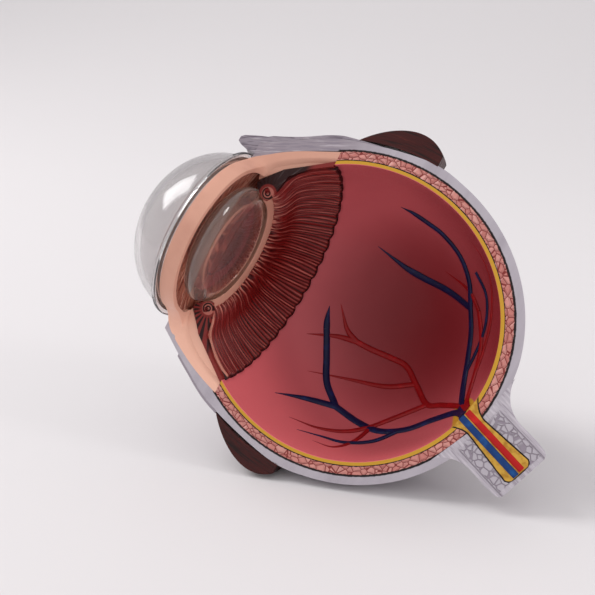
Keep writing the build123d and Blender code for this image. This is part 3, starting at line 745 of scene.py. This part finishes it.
scleraOutside = np.vstack([outsideLine()[:-1], [globe["limbus"]], frameLine()[::-1]])
coats = {"sclera": (scleraOutside, coatLine(choroidSize), "sclera_shell"),
         "choroid": (coatLine(choroidSize), coatLine(retinaSize), "choroid_layer"),
         "retina": (coatLine(retinaSize), coatLine(cavitySize), "retina_layer")}
for coat, (outside, inside, nodeName) in coats.items():
    line = np.vstack([outside, inside[::-1]])
    addTurned(coat + "Coat", line, paints[coat], slotName=coat, nodes=(nodeName,))


# Optic nerve: a yellow core that opens into a funnel, and a sheath that flares into the sclera

def aroundNerve(along, radius, turns, lift=0.0):
    # points at a distance along the nerve and a radius from it; turn 0 is the lateral side, pi the medial
    aside = radius * np.cos(turns)
    flat = nerve["root"] + np.asarray(along)[..., None] * nerveAlong + aside[..., None] * nerveSide
    return flat[..., 0], flat[..., 1], -radius * np.sin(turns) + lift


def addNervePiece(name, line, material, lift, limit, steps=64, **extra):
    # half-round piece about the nerve; points inside the bowl are pushed out to just under its surface
    line = np.asarray(line, float)
    turns = np.linspace(0, np.pi, steps)[:, None]
    x, y, z = aroundNerve(line[None, :, 0] + 0 * turns, line[None, :, 1] + 0 * turns, turns, lift)
    reach = np.sqrt((x / limit[0]) ** 2 + (y / limit[1]) ** 2 + (z / limit[0]) ** 2)
    push = np.maximum(1.0, 1.0 / reach)
    points = stand(x * push, y * push, z * push)
    return addPiece(name, points, shellFaces(steps, len(line)), material, **extra)


def coreSection():
    # radius = straight taper + funnel (start - along)^2 towards the retina, and a rounded end
    length, start = nerve["length"], nerve["funnelStart"]
    along = np.concatenate([np.linspace(-2.4, start, 20), np.linspace(4.5, length - 1.3, 12)])
    taper = nerve["coreRoot"] + (nerve["coreEnd"] - nerve["coreRoot"]) * along / length
    radius = taper + nerve["funnel"] * np.maximum(0.0, start - along) ** 2
    tip = [(length - 0.4, 3.55), (length - 0.1, 2.6), (length, 1.6), (length, 0.0), (-2.4, 0.0)]
    return np.vstack([np.stack([along, radius], 1), tip])


def sheathSection():
    # arc that flares into the sclera: radius = sheath + reach (1 - sqrt(1 - s^2)) / (its value at the end)
    flare = {"share": 0.93, "reach": 6.8, "root": 0.4, "samples": 18}
    share = np.linspace(0, 1, flare["samples"])
    bend = (1 - np.sqrt(1 - (flare["share"] * share) ** 2)) / (1 - math.sqrt(1 - flare["share"] ** 2))
    along = nerve["flareStart"] - share * (nerve["flareStart"] - flare["root"])
    line = np.stack([along, nerve["sheath"] + flare["reach"] * bend], 1)
    start = [(2.6, 0.0), (flare["root"], nerve["sheath"] + flare["reach"])]
    end = nerve["sheathLength"]
    tip = [(15.0, 8.6), (end - 1.6, 8.35), (end - 0.6, 7.9), (end, 6.9), (end, 0.0)]
    return np.vstack([start, line[::-1], tip])


addNervePiece("nerveCore", coreSection(), paints["core"], 0.05, cavitySize + 0.06, slotName="nerve_core",
              nodes=("optic_nerve_core",))
addNervePiece("nerveSheath", sheathSection(), paints["sheath"], 0.02, choroidSize + 0.5,
              slotName="nerve_sheath", nodes=("nerve_sheath",), sharp=50)


def tubeAlong(path, widths, across, heights, sides=12):
    # ring of points round each place on the path: width across it and height off the surface under it
    tangent = np.gradient(path, axis=0)
    tangent /= np.linalg.norm(tangent, axis=1)[:, None]
    side = np.cross(tangent, across)
    side /= np.linalg.norm(side, axis=1)[:, None]
    lift = np.cross(side, tangent)
    lift *= np.sign(np.einsum("ij,ij->i", lift, across))[:, None]
    turn = np.linspace(0, 2 * np.pi, sides, endpoint=False)
    return (path[:, None, :] + side[:, None, :] * (widths[:, None] / 2 * np.cos(turn))[..., None]
            + lift[:, None, :] * (heights[:, None] / 2 * np.sin(turn))[..., None])


def tubesMesh(tubes):
    # several capped tubes in one mesh
    points, faces, start = [], [], 0
    for ring in tubes:
        rows, sides = ring.shape[:2]
        points.append(ring.reshape(-1, 3))
        faces += shellFaces(rows, sides, start)
        start += rows * sides
    flat = np.vstack(points)
    return stand(flat[:, 0], flat[:, 1], flat[:, 2]), faces


def nerveTrunk(offset, width, stop):
    # half-sunk cord in the cut face of the nerve
    look = {"start": -1.5, "samples": 40, "lift": 0.02, "height": 0.9, "sides": 16}
    along = np.linspace(look["start"], stop, look["samples"])
    flat = nerve["root"] + along[:, None] * nerveAlong + offset * nerveSide
    path = np.column_stack([flat, np.full(len(along), look["lift"])])
    upwards = np.tile([0, 0, 1.0], (len(along), 1))
    widths, heights = np.full(len(along), width), np.full(len(along), look["height"])
    return tubeAlong(path, widths, upwards, heights, look["sides"])


# offset, width and end of each trunk
trunks = {"artery": ("nerveRed", 1.0, 1.75, 17.7), "vein": ("nerveBlue", -1.05, 1.85, 17.9)}
for label, (paintName, *trunk) in trunks.items():
    points, faces = tubesMesh([nerveTrunk(*trunk)])
    addPiece("nerve" + label.capitalize(), points, faces, paints[paintName], slotName=label,
             nodes=("nerve_" + label,))
print("coats and nerve made")


# Vessels on the retina: each route is its first and last width, and its (lateral, forward) places

vesselLook = {"sink": 0.1, "flat": 0.4, "samples": 60, "wide": 1.6, "swell": 0.25, "tall": 0.62,
              "taller": 1.4, "taper": 1.3, "pressed": 0.12}
veinRoutes = [
    (1.5, 1.1, [(-8.6, -39.1), (-8.2, -37.2), (-4, -34.5), (3, -31.5), (10, -28.5), (16, -25)]),
    (1.15, 1.0, [(16, -25), (22, -21.5), (27, -16), (30, -9), (31, -3)]),
    (1.0, 0.12, [(31, -3), (31.4, 1), (31.2, 5)]),
    (1.2, 1.3, [(15.5, -25.5), (16.6, -17), (16.4, -8)]),
    (1.3, 0.12, [(16.4, -8), (16.6, -2), (18.2, 8)]),
    (0.75, 0.7, [(0, -33), (8.5, -32.5), (15, -31.2), (21, -28), (25, -22.5)]),
    (1.5, 1.35,
     [(-8.7, -39.0), (-10, -36.6), (-16, -31.5), (-22, -26.5), (-26.5, -20), (-28, -13), (-28, -5)]),
    (1.3, 1.2, [(-28, -5), (-24, 1.5), (-18, 6), (-11, 10.5)]),
    (1.2, 0.12, [(-11, 10.5), (-8, 12), (-4.5, 13.2)]),
    (1.3, 0.12, [(-28, -5), (-29.3, 0.5), (-30.7, 6), (-32, 11)]),
    (0.9, 0.12, [(-23.5, -25), (-29, -20.5), (-33, -14), (-35, -7), (-36.3, -1)]),
]
arteryRoutes = [
    (1.1, 1.1,
     [(-7.2, -39.1), (-8.2, -36.6), (-11.5, -31.5), (-13.8, -27.5), (-11.5, -22), (-8.6, -16), (-9, -10)]),
    (1.1, 1.1, [(-9, -10), (-9.8, -4), (-10, 1)]),
    (1.0, 0.12, [(-10, 1), (-8, 5.5), (-2, 11)]),
    (1.0, 0.12, [(-10, 1), (-11.5, 7), (-15, 15)]),
    (1.0, 0.12, [(-11.3, -21.5), (-16.5, -14), (-20, -4), (-24, 9)]),
    (1.1, 1.0, [(-13.6, -28), (-20, -23), (-26.5, -17.8)]),
    (1.0, 0.12, [(-26.5, -17.8), (-31, -12.5), (-34, -5), (-35.2, 4)]),
    (0.8, 0.12, [(-27, -17.5), (-31.5, -16), (-34.8, -12.5), (-36.4, -6)]),
    (1.2, 1.1, [(-6.8, -39.1), (-5.5, -37.4), (1, -35.5), (9, -32.8), (16, -28)]),
    (0.9, 0.12, [(16, -28), (19.6, -22.5), (21.2, -13)]),
    (0.8, 0.12, [(0, -35.8), (9, -34.2), (17, -32), (24.5, -28), (29, -23), (32, -17)]),
]


def vesselTubes(routes, rise):
    # each route is pressed onto the bowl, depth = radius * sqrt(1 - (x/radius)^2 - (y/length)^2)
    radius, length = cavitySize
    tubes = []
    for first, last, places in routes:
        flat = smoothLine(places, vesselLook["samples"])
        share = np.linspace(0, 1, len(flat))
        swell = 1 + vesselLook["swell"] * np.sin(np.pi * share) * (last < 0.2)
        width = (first + (last - first) * share ** vesselLook["taper"]) * swell * vesselLook["wide"]
        inside = 1 - (flat[:, 0] / radius) ** 2 - (flat[:, 1] / length) ** 2
        path = np.column_stack([flat, -radius * np.sqrt(np.maximum(inside, 1e-4))])
        normal = -path / np.array([radius, length, radius]) ** 2
        normal /= np.linalg.norm(normal, axis=1)[:, None]
        height = np.minimum(width * vesselLook["flat"], vesselLook["tall"]) * vesselLook["taller"]
        above = height / 2 - vesselLook["sink"] - vesselLook["pressed"] * width + rise
        tubes.append(tubeAlong(path + normal * above[:, None], width, normal, height))
    return tubes


trees = {"veins": (veinRoutes, 0.06, "retinalBlue", "vein"),
         "arteries": (arteryRoutes, 0.0, "retinalRed", "artery")}
for label, (routes, rise, paintName, slotName) in trees.items():
    points, faces = tubesMesh(vesselTubes(routes, rise))
    addPiece("retinal" + label.capitalize(), points, faces, paints[paintName], slotName=slotName,
             nodes=("retinal_" + label,), sharp=60)
print("vessels made")


# Ciliary body: a ring of folds, fine at the retina and deep and curled beside the lens

# waves are (size, times round the turn, times along, phase)
foldLook = {"processes": 46, "striae": 92, "lobes": 22, "turns": 1150, "top": 60, "first": 3.4,
            "rise": 0.95, "fine": 0.4, "body": 0.25, "uneven": (0.78, 0.22), "fade": 0.05,
            "waver": [(0.16, 9, 4, 0.0), (0.12, 23, -6, 1.3)],
            "curl": [(0.3, 31, 14, 0.0), (0.22, 53, -21, 0.7)],
            "deepPower": 0.8, "thinPower": 0.9, "blend": (0.7, 0.3), "swapStart": 0.35, "swapRun": 0.4,
            "lobeReach": 0.75, "lobePower": 0.7, "lobeRun": 0.16, "sunk": (0.25, 0.75, 0.03),
            "sunkUpTo": 21.4}
foldBase = [(31.9, 21.3), (31.0, 22.8), (29.0, 26.0), (26.8, 28.9), (24.4, 31.0), (21.8, 31.9), (19.8, 32.5),
            (18.3, 33.5), (17.7, 34.6)]
foldUnder = [(17.8, 35.4), (19.2, 38.3), (21.5, 37.0), (25.2, 33.3), (29.6, 27.2), (33.4, 21.3)]


def waves(turns, share, terms):
    # sum of size * sin(a turn + b share + phase)
    return sum(size * np.sin(a * turns + b * share + phase) for size, a, b, phase in terms)


def foldCrest(turns, share):
    # crest = |cos(count * turn + waver)| to a power: thin striae at the retina, deep processes at the lens
    waver = waves(turns, share, foldLook["waver"])
    curl = share ** 3 * waves(turns, share, foldLook["curl"])
    big = turns / np.pi * foldLook["processes"] + waver + curl
    small = turns / np.pi * foldLook["striae"] + 2 * waver + 0.5 * curl
    deep = np.abs(np.cos(np.pi * big)) ** foldLook["deepPower"]
    thin = np.abs(np.cos(np.pi * small)) ** foldLook["thinPower"]
    swap = np.clip((share - foldLook["swapStart"]) / foldLook["swapRun"], 0, 1)
    swap = swap * swap * (3 - 2 * swap)
    deepShare, thinShare = foldLook["blend"]
    return (1 - swap) * thin + swap * (deepShare * deep + thinShare * thin), swap


def foldSurface():
    # base line + normal * (crest * rise + body), with a scalloped edge at the retina, kept inside the bowl
    turns = np.radians(np.linspace(foldLook["first"], 180 - foldLook["first"], foldLook["turns"]))[:, None]
    share = np.linspace(0, 1, foldLook["top"])[None, :]
    base = smoothLine(foldBase, foldLook["top"])
    slope = np.gradient(base, axis=0)
    normal = np.stack([-slope[:, 1], slope[:, 0]], 1)
    normal /= np.linalg.norm(normal, axis=1)[:, None]
    normal *= np.sign(normal[:, :1] * -1.0 + normal[:, 1:] * -1.0)
    crest, swap = foldCrest(turns, share)
    even, varied = foldLook["uneven"]
    uneven = even + varied * np.sin(71 * turns + 2.1) * np.sin(5 * share + 19 * turns)
    rise = foldLook["fine"] + (foldLook["rise"] - foldLook["fine"]) * swap
    fade = np.clip(share / foldLook["fade"], 0, 1) * np.clip((1 - share) / foldLook["fade"], 0.25, 1)
    height = (crest * rise * uneven + foldLook["body"]) * fade
    radius = base[None, :, 0] + normal[None, :, 0] * height
    along = base[None, :, 1] + normal[None, :, 1] * height
    lobe = np.abs(np.sin(turns / np.pi * foldLook["lobes"] * np.pi)) ** foldLook["lobePower"]
    along = along - foldLook["lobeReach"] * (lobe + 0.25) * np.clip(1 - share / foldLook["lobeRun"], 0, 1)
    outer = cavitySize[0] * np.sqrt(1 - np.clip(along / cavitySize[1], -1, 1) ** 2)
    proud, sunk, run = foldLook["sunk"]
    low = along < foldLook["sunkUpTo"]
    radius = np.minimum(radius, outer + proud - sunk * np.clip(share / run, 0, 1) * low)
    under = np.tile(np.array(foldUnder), (len(turns), 1, 1))
    blank = np.zeros(under.shape[:2])
    return (turns, np.hstack([radius, under[..., 0]]), np.hstack([along, under[..., 1]]),
            np.hstack([crest * uneven, blank]), np.hstack([np.tile(share, (len(turns), 1)), blank]))


turns, radius, along, crest, share = foldSurface()
addPiece("ciliaryFolds", standRound(radius, along, turns), shellFaces(*radius.shape), paints["fold"],
         slotName="ciliary_body", nodes=("ciliary_body",), sharp=75, values={"crest": crest, "along": share})

muscleLine = [(15.6, 33.6), (15.6, 34.7), (16.6, 36.1), (17.9, 37.8), (19.2, 38.2), (25.1, 33.2),
              (24.2, 31.1), (20.2, 31.9), (17.2, 32.6)]
tailLine = [(24.2, 31.1), (25.1, 33.2), (33.4, 21.3), (32.0, 21.3), (28.6, 26.6)]
for side, first in (("lateral", 0.0), ("medial", 180 - foldLook["first"])):
    span = (first, first + foldLook["first"])
    addTurned(side + "CiliaryMuscle", muscleLine, paints["ciliaryMuscle"], span, 6, slotName="ciliary_muscle",
              nodes=(side + "_ciliary_muscle",))
    addTurned(side + "CiliaryTail", tailLine, paints["ciliaryMuscle"], span, 6, slotName="ciliary_body")
print("folds made")


# Front frame: the wall, and a band that climbs over the iris as an arch

bandLook = {"rounding": 0.00045, "segments": 3, "corner": 50, "samples": 150, "sides": 6, "lift": 0.03,
            "archSpan": (16, 164, 15)}
lateralEdges = {
    "outer": [(36.3, 21.2, 0), (34.0, 26.2, 0), (31.7, 31.2, 0), (29.2, 35.7, 0), (26.8, 39.2, 0),
              (24.9, 41.8, 0.5), (23.4, 42.8, 2.4)],
    "inner": [(34.3, 21.2, 0), (32.3, 25.6, 0), (30.0, 30.0, 0), (27.4, 34.1, 0), (24.9, 37.0, 0),
              (23.5, 38.2, 0.9), (22.5, 38.7, 3.2)],
    "slope": [(32.9, 21.2, -0.6), (30.0, 25.8, -1.6), (27.2, 29.2, -2.0), (24.5, 32.3, -2.0),
              (22.4, 34.8, -1.8), (21.2, 36.9, -0.8), (21.1, 38.3, 2.4)],
    "under": [(36.0, 21.2, -2.4), (33.6, 26.0, -2.6), (30.4, 31.2, -2.8), (26.8, 35.8, -2.8),
              (23.9, 39.8, -2.4), (21.9, 42.1, -0.6), (21.3, 42.8, 2.8)],
}
medialEdges = {
    "outer": [(36.6, 21.2, 0), (35.2, 26.2, 0), (33.2, 31.6, 0), (30.6, 37.0, 0), (28.4, 40.7, 0),
              (26.2, 42.5, 0.6), (24.0, 42.8, 2.7)],
    "inner": [(34.9, 21.2, 0), (33.4, 26.0, 0), (31.0, 31.4, 0), (28.2, 35.6, 0), (25.9, 38.0, 0.2),
              (24.2, 38.6, 1.4), (23.0, 38.7, 3.4)],
    "slope": [(33.0, 21.2, -0.8), (30.4, 26.0, -2.0), (26.8, 31.2, -2.6), (23.2, 35.0, -2.6),
              (20.2, 37.6, -2.0), (20.4, 38.5, -0.2), (21.1, 38.4, 2.8)],
    "under": [(36.2, 21.2, -2.8), (34.3, 26.0, -3.2), (31.2, 31.2, -3.6), (27.4, 35.8, -3.6),
              (24.2, 40.0, -3.0), (21.9, 42.3, -0.8), (21.3, 42.8, 3.0)],
}
archRadius = {"outer": (22.9, 42.8), "inner": (22.4, 38.7), "slope": (21.3, 38.5), "under": (21.5, 42.8)}


def bandEdge(name):
    # lateral run, half ring over the iris, and the mirrored medial run, as one smooth line
    first = np.array(lateralEdges[name], float)
    last = np.array(medialEdges[name], float)[::-1] * [-1, 1, 1]
    ringRadius, ringForward = archRadius[name]
    turn = np.radians(np.linspace(*bandLook["archSpan"]))
    ahead = np.full(len(turn), ringForward)
    arch = np.stack([ringRadius * np.cos(turn), ahead, ringRadius * np.sin(turn)], 1)
    return smoothLine(np.vstack([first, arch, last]), bandLook["samples"]) + [0, 0, bandLook["lift"]]


def bandGrid():
    # four edge lines joined by straight runs of a few points, closed round the section
    edges = [bandEdge(name) for name in ("outer", "inner", "slope", "under")]
    part = np.linspace(0, 1, bandLook["sides"], endpoint=False)[None, :, None]
    loops = [edges[k][:, None, :] * (1 - part) + edges[(k + 1) % 4][:, None, :] * part for k in range(4)]
    return np.concatenate(loops, axis=1)


grid = bandGrid()
band = addPiece("frameBand", stand(grid[..., 0], grid[..., 1], grid[..., 2]), shellFaces(*grid.shape[:2]),
                paints["frame"], slotName="front_frame", nodes=("front_frame",), sharp=40)
bevel = band.modifiers.new("softEdges", "BEVEL")
bevel.width = bandLook["rounding"]
bevel.segments = bandLook["segments"]
bevel.limit_method = "ANGLE"
bevel.angle_limit = math.radians(bandLook["corner"])
wallInside = [(21.5, 42.8), (21.5, 38.9), (19.7, 38.4), (25.3, 33.3), (33.6, 21.2)]
wallLine = np.vstack([frameLine() - [0.3, 0], wallInside])
addTurned("frameWall", wallLine, paints["frame"], (1.5, 178.5), 120, slotName="front_frame")
seatLine = [(15.2, 34.7), (18.1, 38.1), (20.4, 38.1), (19.4, 35.2), (18.6, 33.7), (17.0, 33.9), (15.6, 34.3)]
addTurned("lensSeat", seatLine, paints["frame"], (6, 174), 120, slotName="lens_seat", nodes=("lens_seat",),
          sharp=60)
print("front frame made")


# Iris and pupil

irisLook = {"rim": (21.5, 39.5), "pupil": 5.0, "rise": 4.9, "wall": 1.1, "relief": 0.22, "spokes": 64,
            "sway": (3, 5), "twist": (2.5, 5), "broadShare": 0.6, "steps": 420, "count": 26}


def irisGrid():
    # cone, forward = start + rise * part + relief: sines round the turn that fade at the rim and the pupil;
    # front and back in one closed loop
    turns = np.linspace(0, 2 * np.pi, irisLook["steps"], endpoint=False)[:, None]
    part = np.linspace(0, 1, irisLook["count"])[None, :]
    rim, start = irisLook["rim"]
    radius = rim + (irisLook["pupil"] - rim) * part + 0 * turns
    sway, swayTurns = irisLook["sway"]
    fineTwist, broadTwist = irisLook["twist"]
    fine = np.sin(irisLook["spokes"] * turns + sway * np.sin(swayTurns * turns) + fineTwist * part)
    broad = np.sin(irisLook["spokes"] * 0.5 * turns + broadTwist * part)
    relief = irisLook["relief"] * 0.5 * (fine + irisLook["broadShare"] * broad) * np.sin(np.pi * part)
    back = start + irisLook["rise"] * part + relief
    front = start + irisLook["rise"] * part + irisLook["wall"] + relief
    return turns, np.hstack([radius, radius[:, ::-1]]), np.hstack([back, front[:, ::-1]])


turns, radius, along = irisGrid()
faces = gridFaces(*radius.shape, closedRows=True, closedColumns=True).tolist()
addPiece("irisDisc", standRound(radius, along, turns), faces, paints["iris"], slotName="iris",
         nodes=("iris",), sharp=60)
pupilLine = [(0.0, 44.6), (4.4, 44.5), (5.0, 44.7), (5.0, 45.2), (0.0, 45.2)]
addPoled("pupilDisc", pupilLine, paints["pupil"], 64, slotName="pupil", nodes=("pupil_disc",))
print("iris made")


# Tendons: fibrous layers over the sclera, the lateral one ending in a flap past the limbus

tendonLook = {"thick": 0.9, "angle": 24.0, "steps": 70, "start": 17.6, "stop": 35.8, "fine": (240, 0.1),
              "broad": (410, 0.07), "slant": 0.1, "flapStart": 108, "flapRise": (33.0, 7.0), "flapPower": 1.5,
              "laid": -0.05, "underside": -0.1, "sunk": 0.2}
flapTip = [(30.3, 43.6), (29.4, 45.8), (28.6, 47.6), (27.8, 48.5), (26.5, 48.6), (25.8, 47.2), (25.4, 45.4),
           (25.4, 42.85)]


def flapSection():
    # layer over the sclera, thick + ((forward - start) / run)^1.5 high, then the tip, then back underneath
    outside = outsideLine(tendonLook["laid"])[tendonLook["flapStart"]:]
    start, run = tendonLook["flapRise"]
    rise = np.clip(np.linspace(0, 4, len(outside)), 0, 1) * tendonLook["thick"]
    rise = rise + np.clip((outside[:, 1] - start) / run, 0, 1) ** tendonLook["flapPower"]
    under = outsideLine(tendonLook["underside"])[tendonLook["flapStart"]:][::-1]
    return np.vstack([(outside + rise[:, None] * [1, 0])[:-2], flapTip, under])


def medialSection():
    # plain layer between two distances forward
    outside = outsideLine(tendonLook["thick"] - tendonLook["sunk"])
    kept = (outside[:, 1] > tendonLook["start"]) & (outside[:, 1] < tendonLook["stop"])
    return np.vstack([outside[kept], outsideLine(tendonLook["underside"])[kept][::-1]])


def addTendon(name, line, side, taper, **extra):
    # layer turned over its angle, its far edge thinned to nothing, with lengthwise fibres in relief
    radius, along = line[None, :, 0], line[None, :, 1]
    part = np.linspace(0, 1, tendonLook["steps"])[:, None]
    turns = np.radians(tendonLook["angle"] * part)
    (fine, fineHeight), (broad, broadHeight) = tendonLook["fine"], tendonLook["broad"]
    fibres = fineHeight * (np.sin(fine * turns) - 1 + part)
    fibres = fibres + broadHeight * np.sin(broad * turns - tendonLook["slant"] * along) * part
    sclera = outsideLine()
    raised = np.clip((radius - np.interp(along, sclera[:, 1], sclera[:, 0])) / 0.5, 0, 1)
    edge = np.clip((1 - part) / taper, 0, 1)
    radius = radius + (fibres - tendonLook["thick"] * (1 - edge)) * raised
    points = stand(radius * np.cos(turns) * side, along + 0 * turns, -radius * np.sin(turns))
    faces = shellFaces(tendonLook["steps"], len(line))
    return addPiece(name, points, faces, paints["tendon"], slotName="tendon", sharp=50, **extra)


addTendon("lateralTendon", flapSection(), 1, 0.3, nodes=("lateral_tendon",))
addTendon("medialTendon", medialSection(), -1, 0.4, nodes=("medial_tendon",))
print("tendons made")


# Floor, light and camera

stageLook = {"floor": tone(219, 215, 216), "roughness": 0.7, "specular": 0.1, "seen": (0.86, 0.86, 0.87, 1),
             "glow": (0.76, 0.75, 0.75, 1), "near": -2.5, "wall": 0.5, "bend": 2.2, "top": 4.0, "half": 4.5}
lampLook = {
    "keySoftbox": {"place": (-1.02, 0.03, 1.14), "target": (0, 0, 0.05), "size": (0.68, 0.95), "power": 9.0},
    "sideSoftbox": {"place": (0.88, -0.05, 0.38), "target": (-0.03, 0, 0.07), "size": (0.2, 0.24),
                    "power": 1.1},
}
cameraLook = {"place": (0.0603, -0.2272, 0.1214), "heading": (-0.307, 0.952), "tilt": 17.3, "lens": 57.36}


def addFloor(look):
    # sheet that runs flat under the model and bends up into a wall: quarter circle of radius "bend"
    bend, wall = look["bend"], look["wall"]
    turn = np.linspace(0, np.pi / 2, 24)
    arc = np.stack([wall + bend * np.sin(turn), bend * (1 - np.cos(turn))], 1)
    line = np.vstack([[[look["near"], 0.0]], arc, [[wall + bend, look["top"]]]])
    points = np.stack([np.column_stack([np.full(len(line), side * look["half"]), line]) for side in (-1, 1)])
    mesh = bpy.data.meshes.new("floorSheet")
    mesh.from_pydata(points.reshape(-1, 3).tolist(), [], gridFaces(2, len(line))[:, ::-1].tolist())
    mesh.shade_smooth()
    floor = bpy.data.objects.new("floorSheet", mesh)
    bpy.context.scene.collection.objects.link(floor)
    material = bpy.data.materials.new("floorPaper")
    material.use_nodes = True
    shader = material.node_tree.nodes["Principled BSDF"]
    shader.inputs["Base Color"].default_value = look["floor"]
    shader.inputs["Roughness"].default_value = look["roughness"]
    shader.inputs["Specular IOR Level"].default_value = look["specular"]
    mesh.materials.append(material)


def aim(thing, direction):
    # turns a lamp or camera so that it looks in the direction
    thing.rotation_euler = Vector(direction).to_track_quat("-Z", "Y").to_euler()


def addSoftbox(name, look, spread=160):
    # rectangular lamp aimed at its target
    data = bpy.data.lights.new(name, "AREA")
    data.shape = "RECTANGLE"
    data.size = look["size"][0]
    data.size_y = look["size"][1]
    data.energy = look["power"]
    data.spread = math.radians(spread)
    lamp = bpy.data.objects.new(name, data)
    lamp.location = look["place"]
    aim(lamp, Vector(look["target"]) - Vector(look["place"]))
    bpy.context.scene.collection.objects.link(lamp)


def addWorld(look):
    # brighter where it is seen directly, in a reflection or through the clear parts
    world = bpy.data.worlds.new("studio")
    world.use_nodes = True
    tree = world.node_tree
    back = tree.nodes["Background"]
    path = put(tree, "ShaderNodeLightPath").outputs
    mirrored = calc("MAXIMUM", path["Is Glossy Ray"], path["Is Transmission Ray"])
    seen = calc("MAXIMUM", path["Is Camera Ray"], mirrored)
    tree.links.new(mixed(seen, look["seen"], look["glow"]), back.inputs["Color"])
    back.inputs["Strength"].default_value = 1.0
    bpy.context.scene.world = world


def addCamera(look):
    # direction = level heading * cos tilt, down by sin tilt
    data = bpy.data.cameras.new("camera")
    data.lens = look["lens"]
    data.sensor_width = 36
    data.clip_start = 0.01
    camera = bpy.data.objects.new("camera", data)
    camera.location = look["place"]
    tilt = math.radians(look["tilt"])
    level = math.cos(tilt)
    aim(camera, (look["heading"][0] * level, look["heading"][1] * level, -math.sin(tilt)))
    bpy.context.scene.collection.objects.link(camera)
    bpy.context.scene.camera = camera


addFloor(stageLook)
addWorld(stageLook)
for lampName, lampValues in lampLook.items():
    addSoftbox(lampName, lampValues)
addCamera(cameraLook)
bpy.context.scene.view_settings.view_transform = "Standard"

print("scene made")
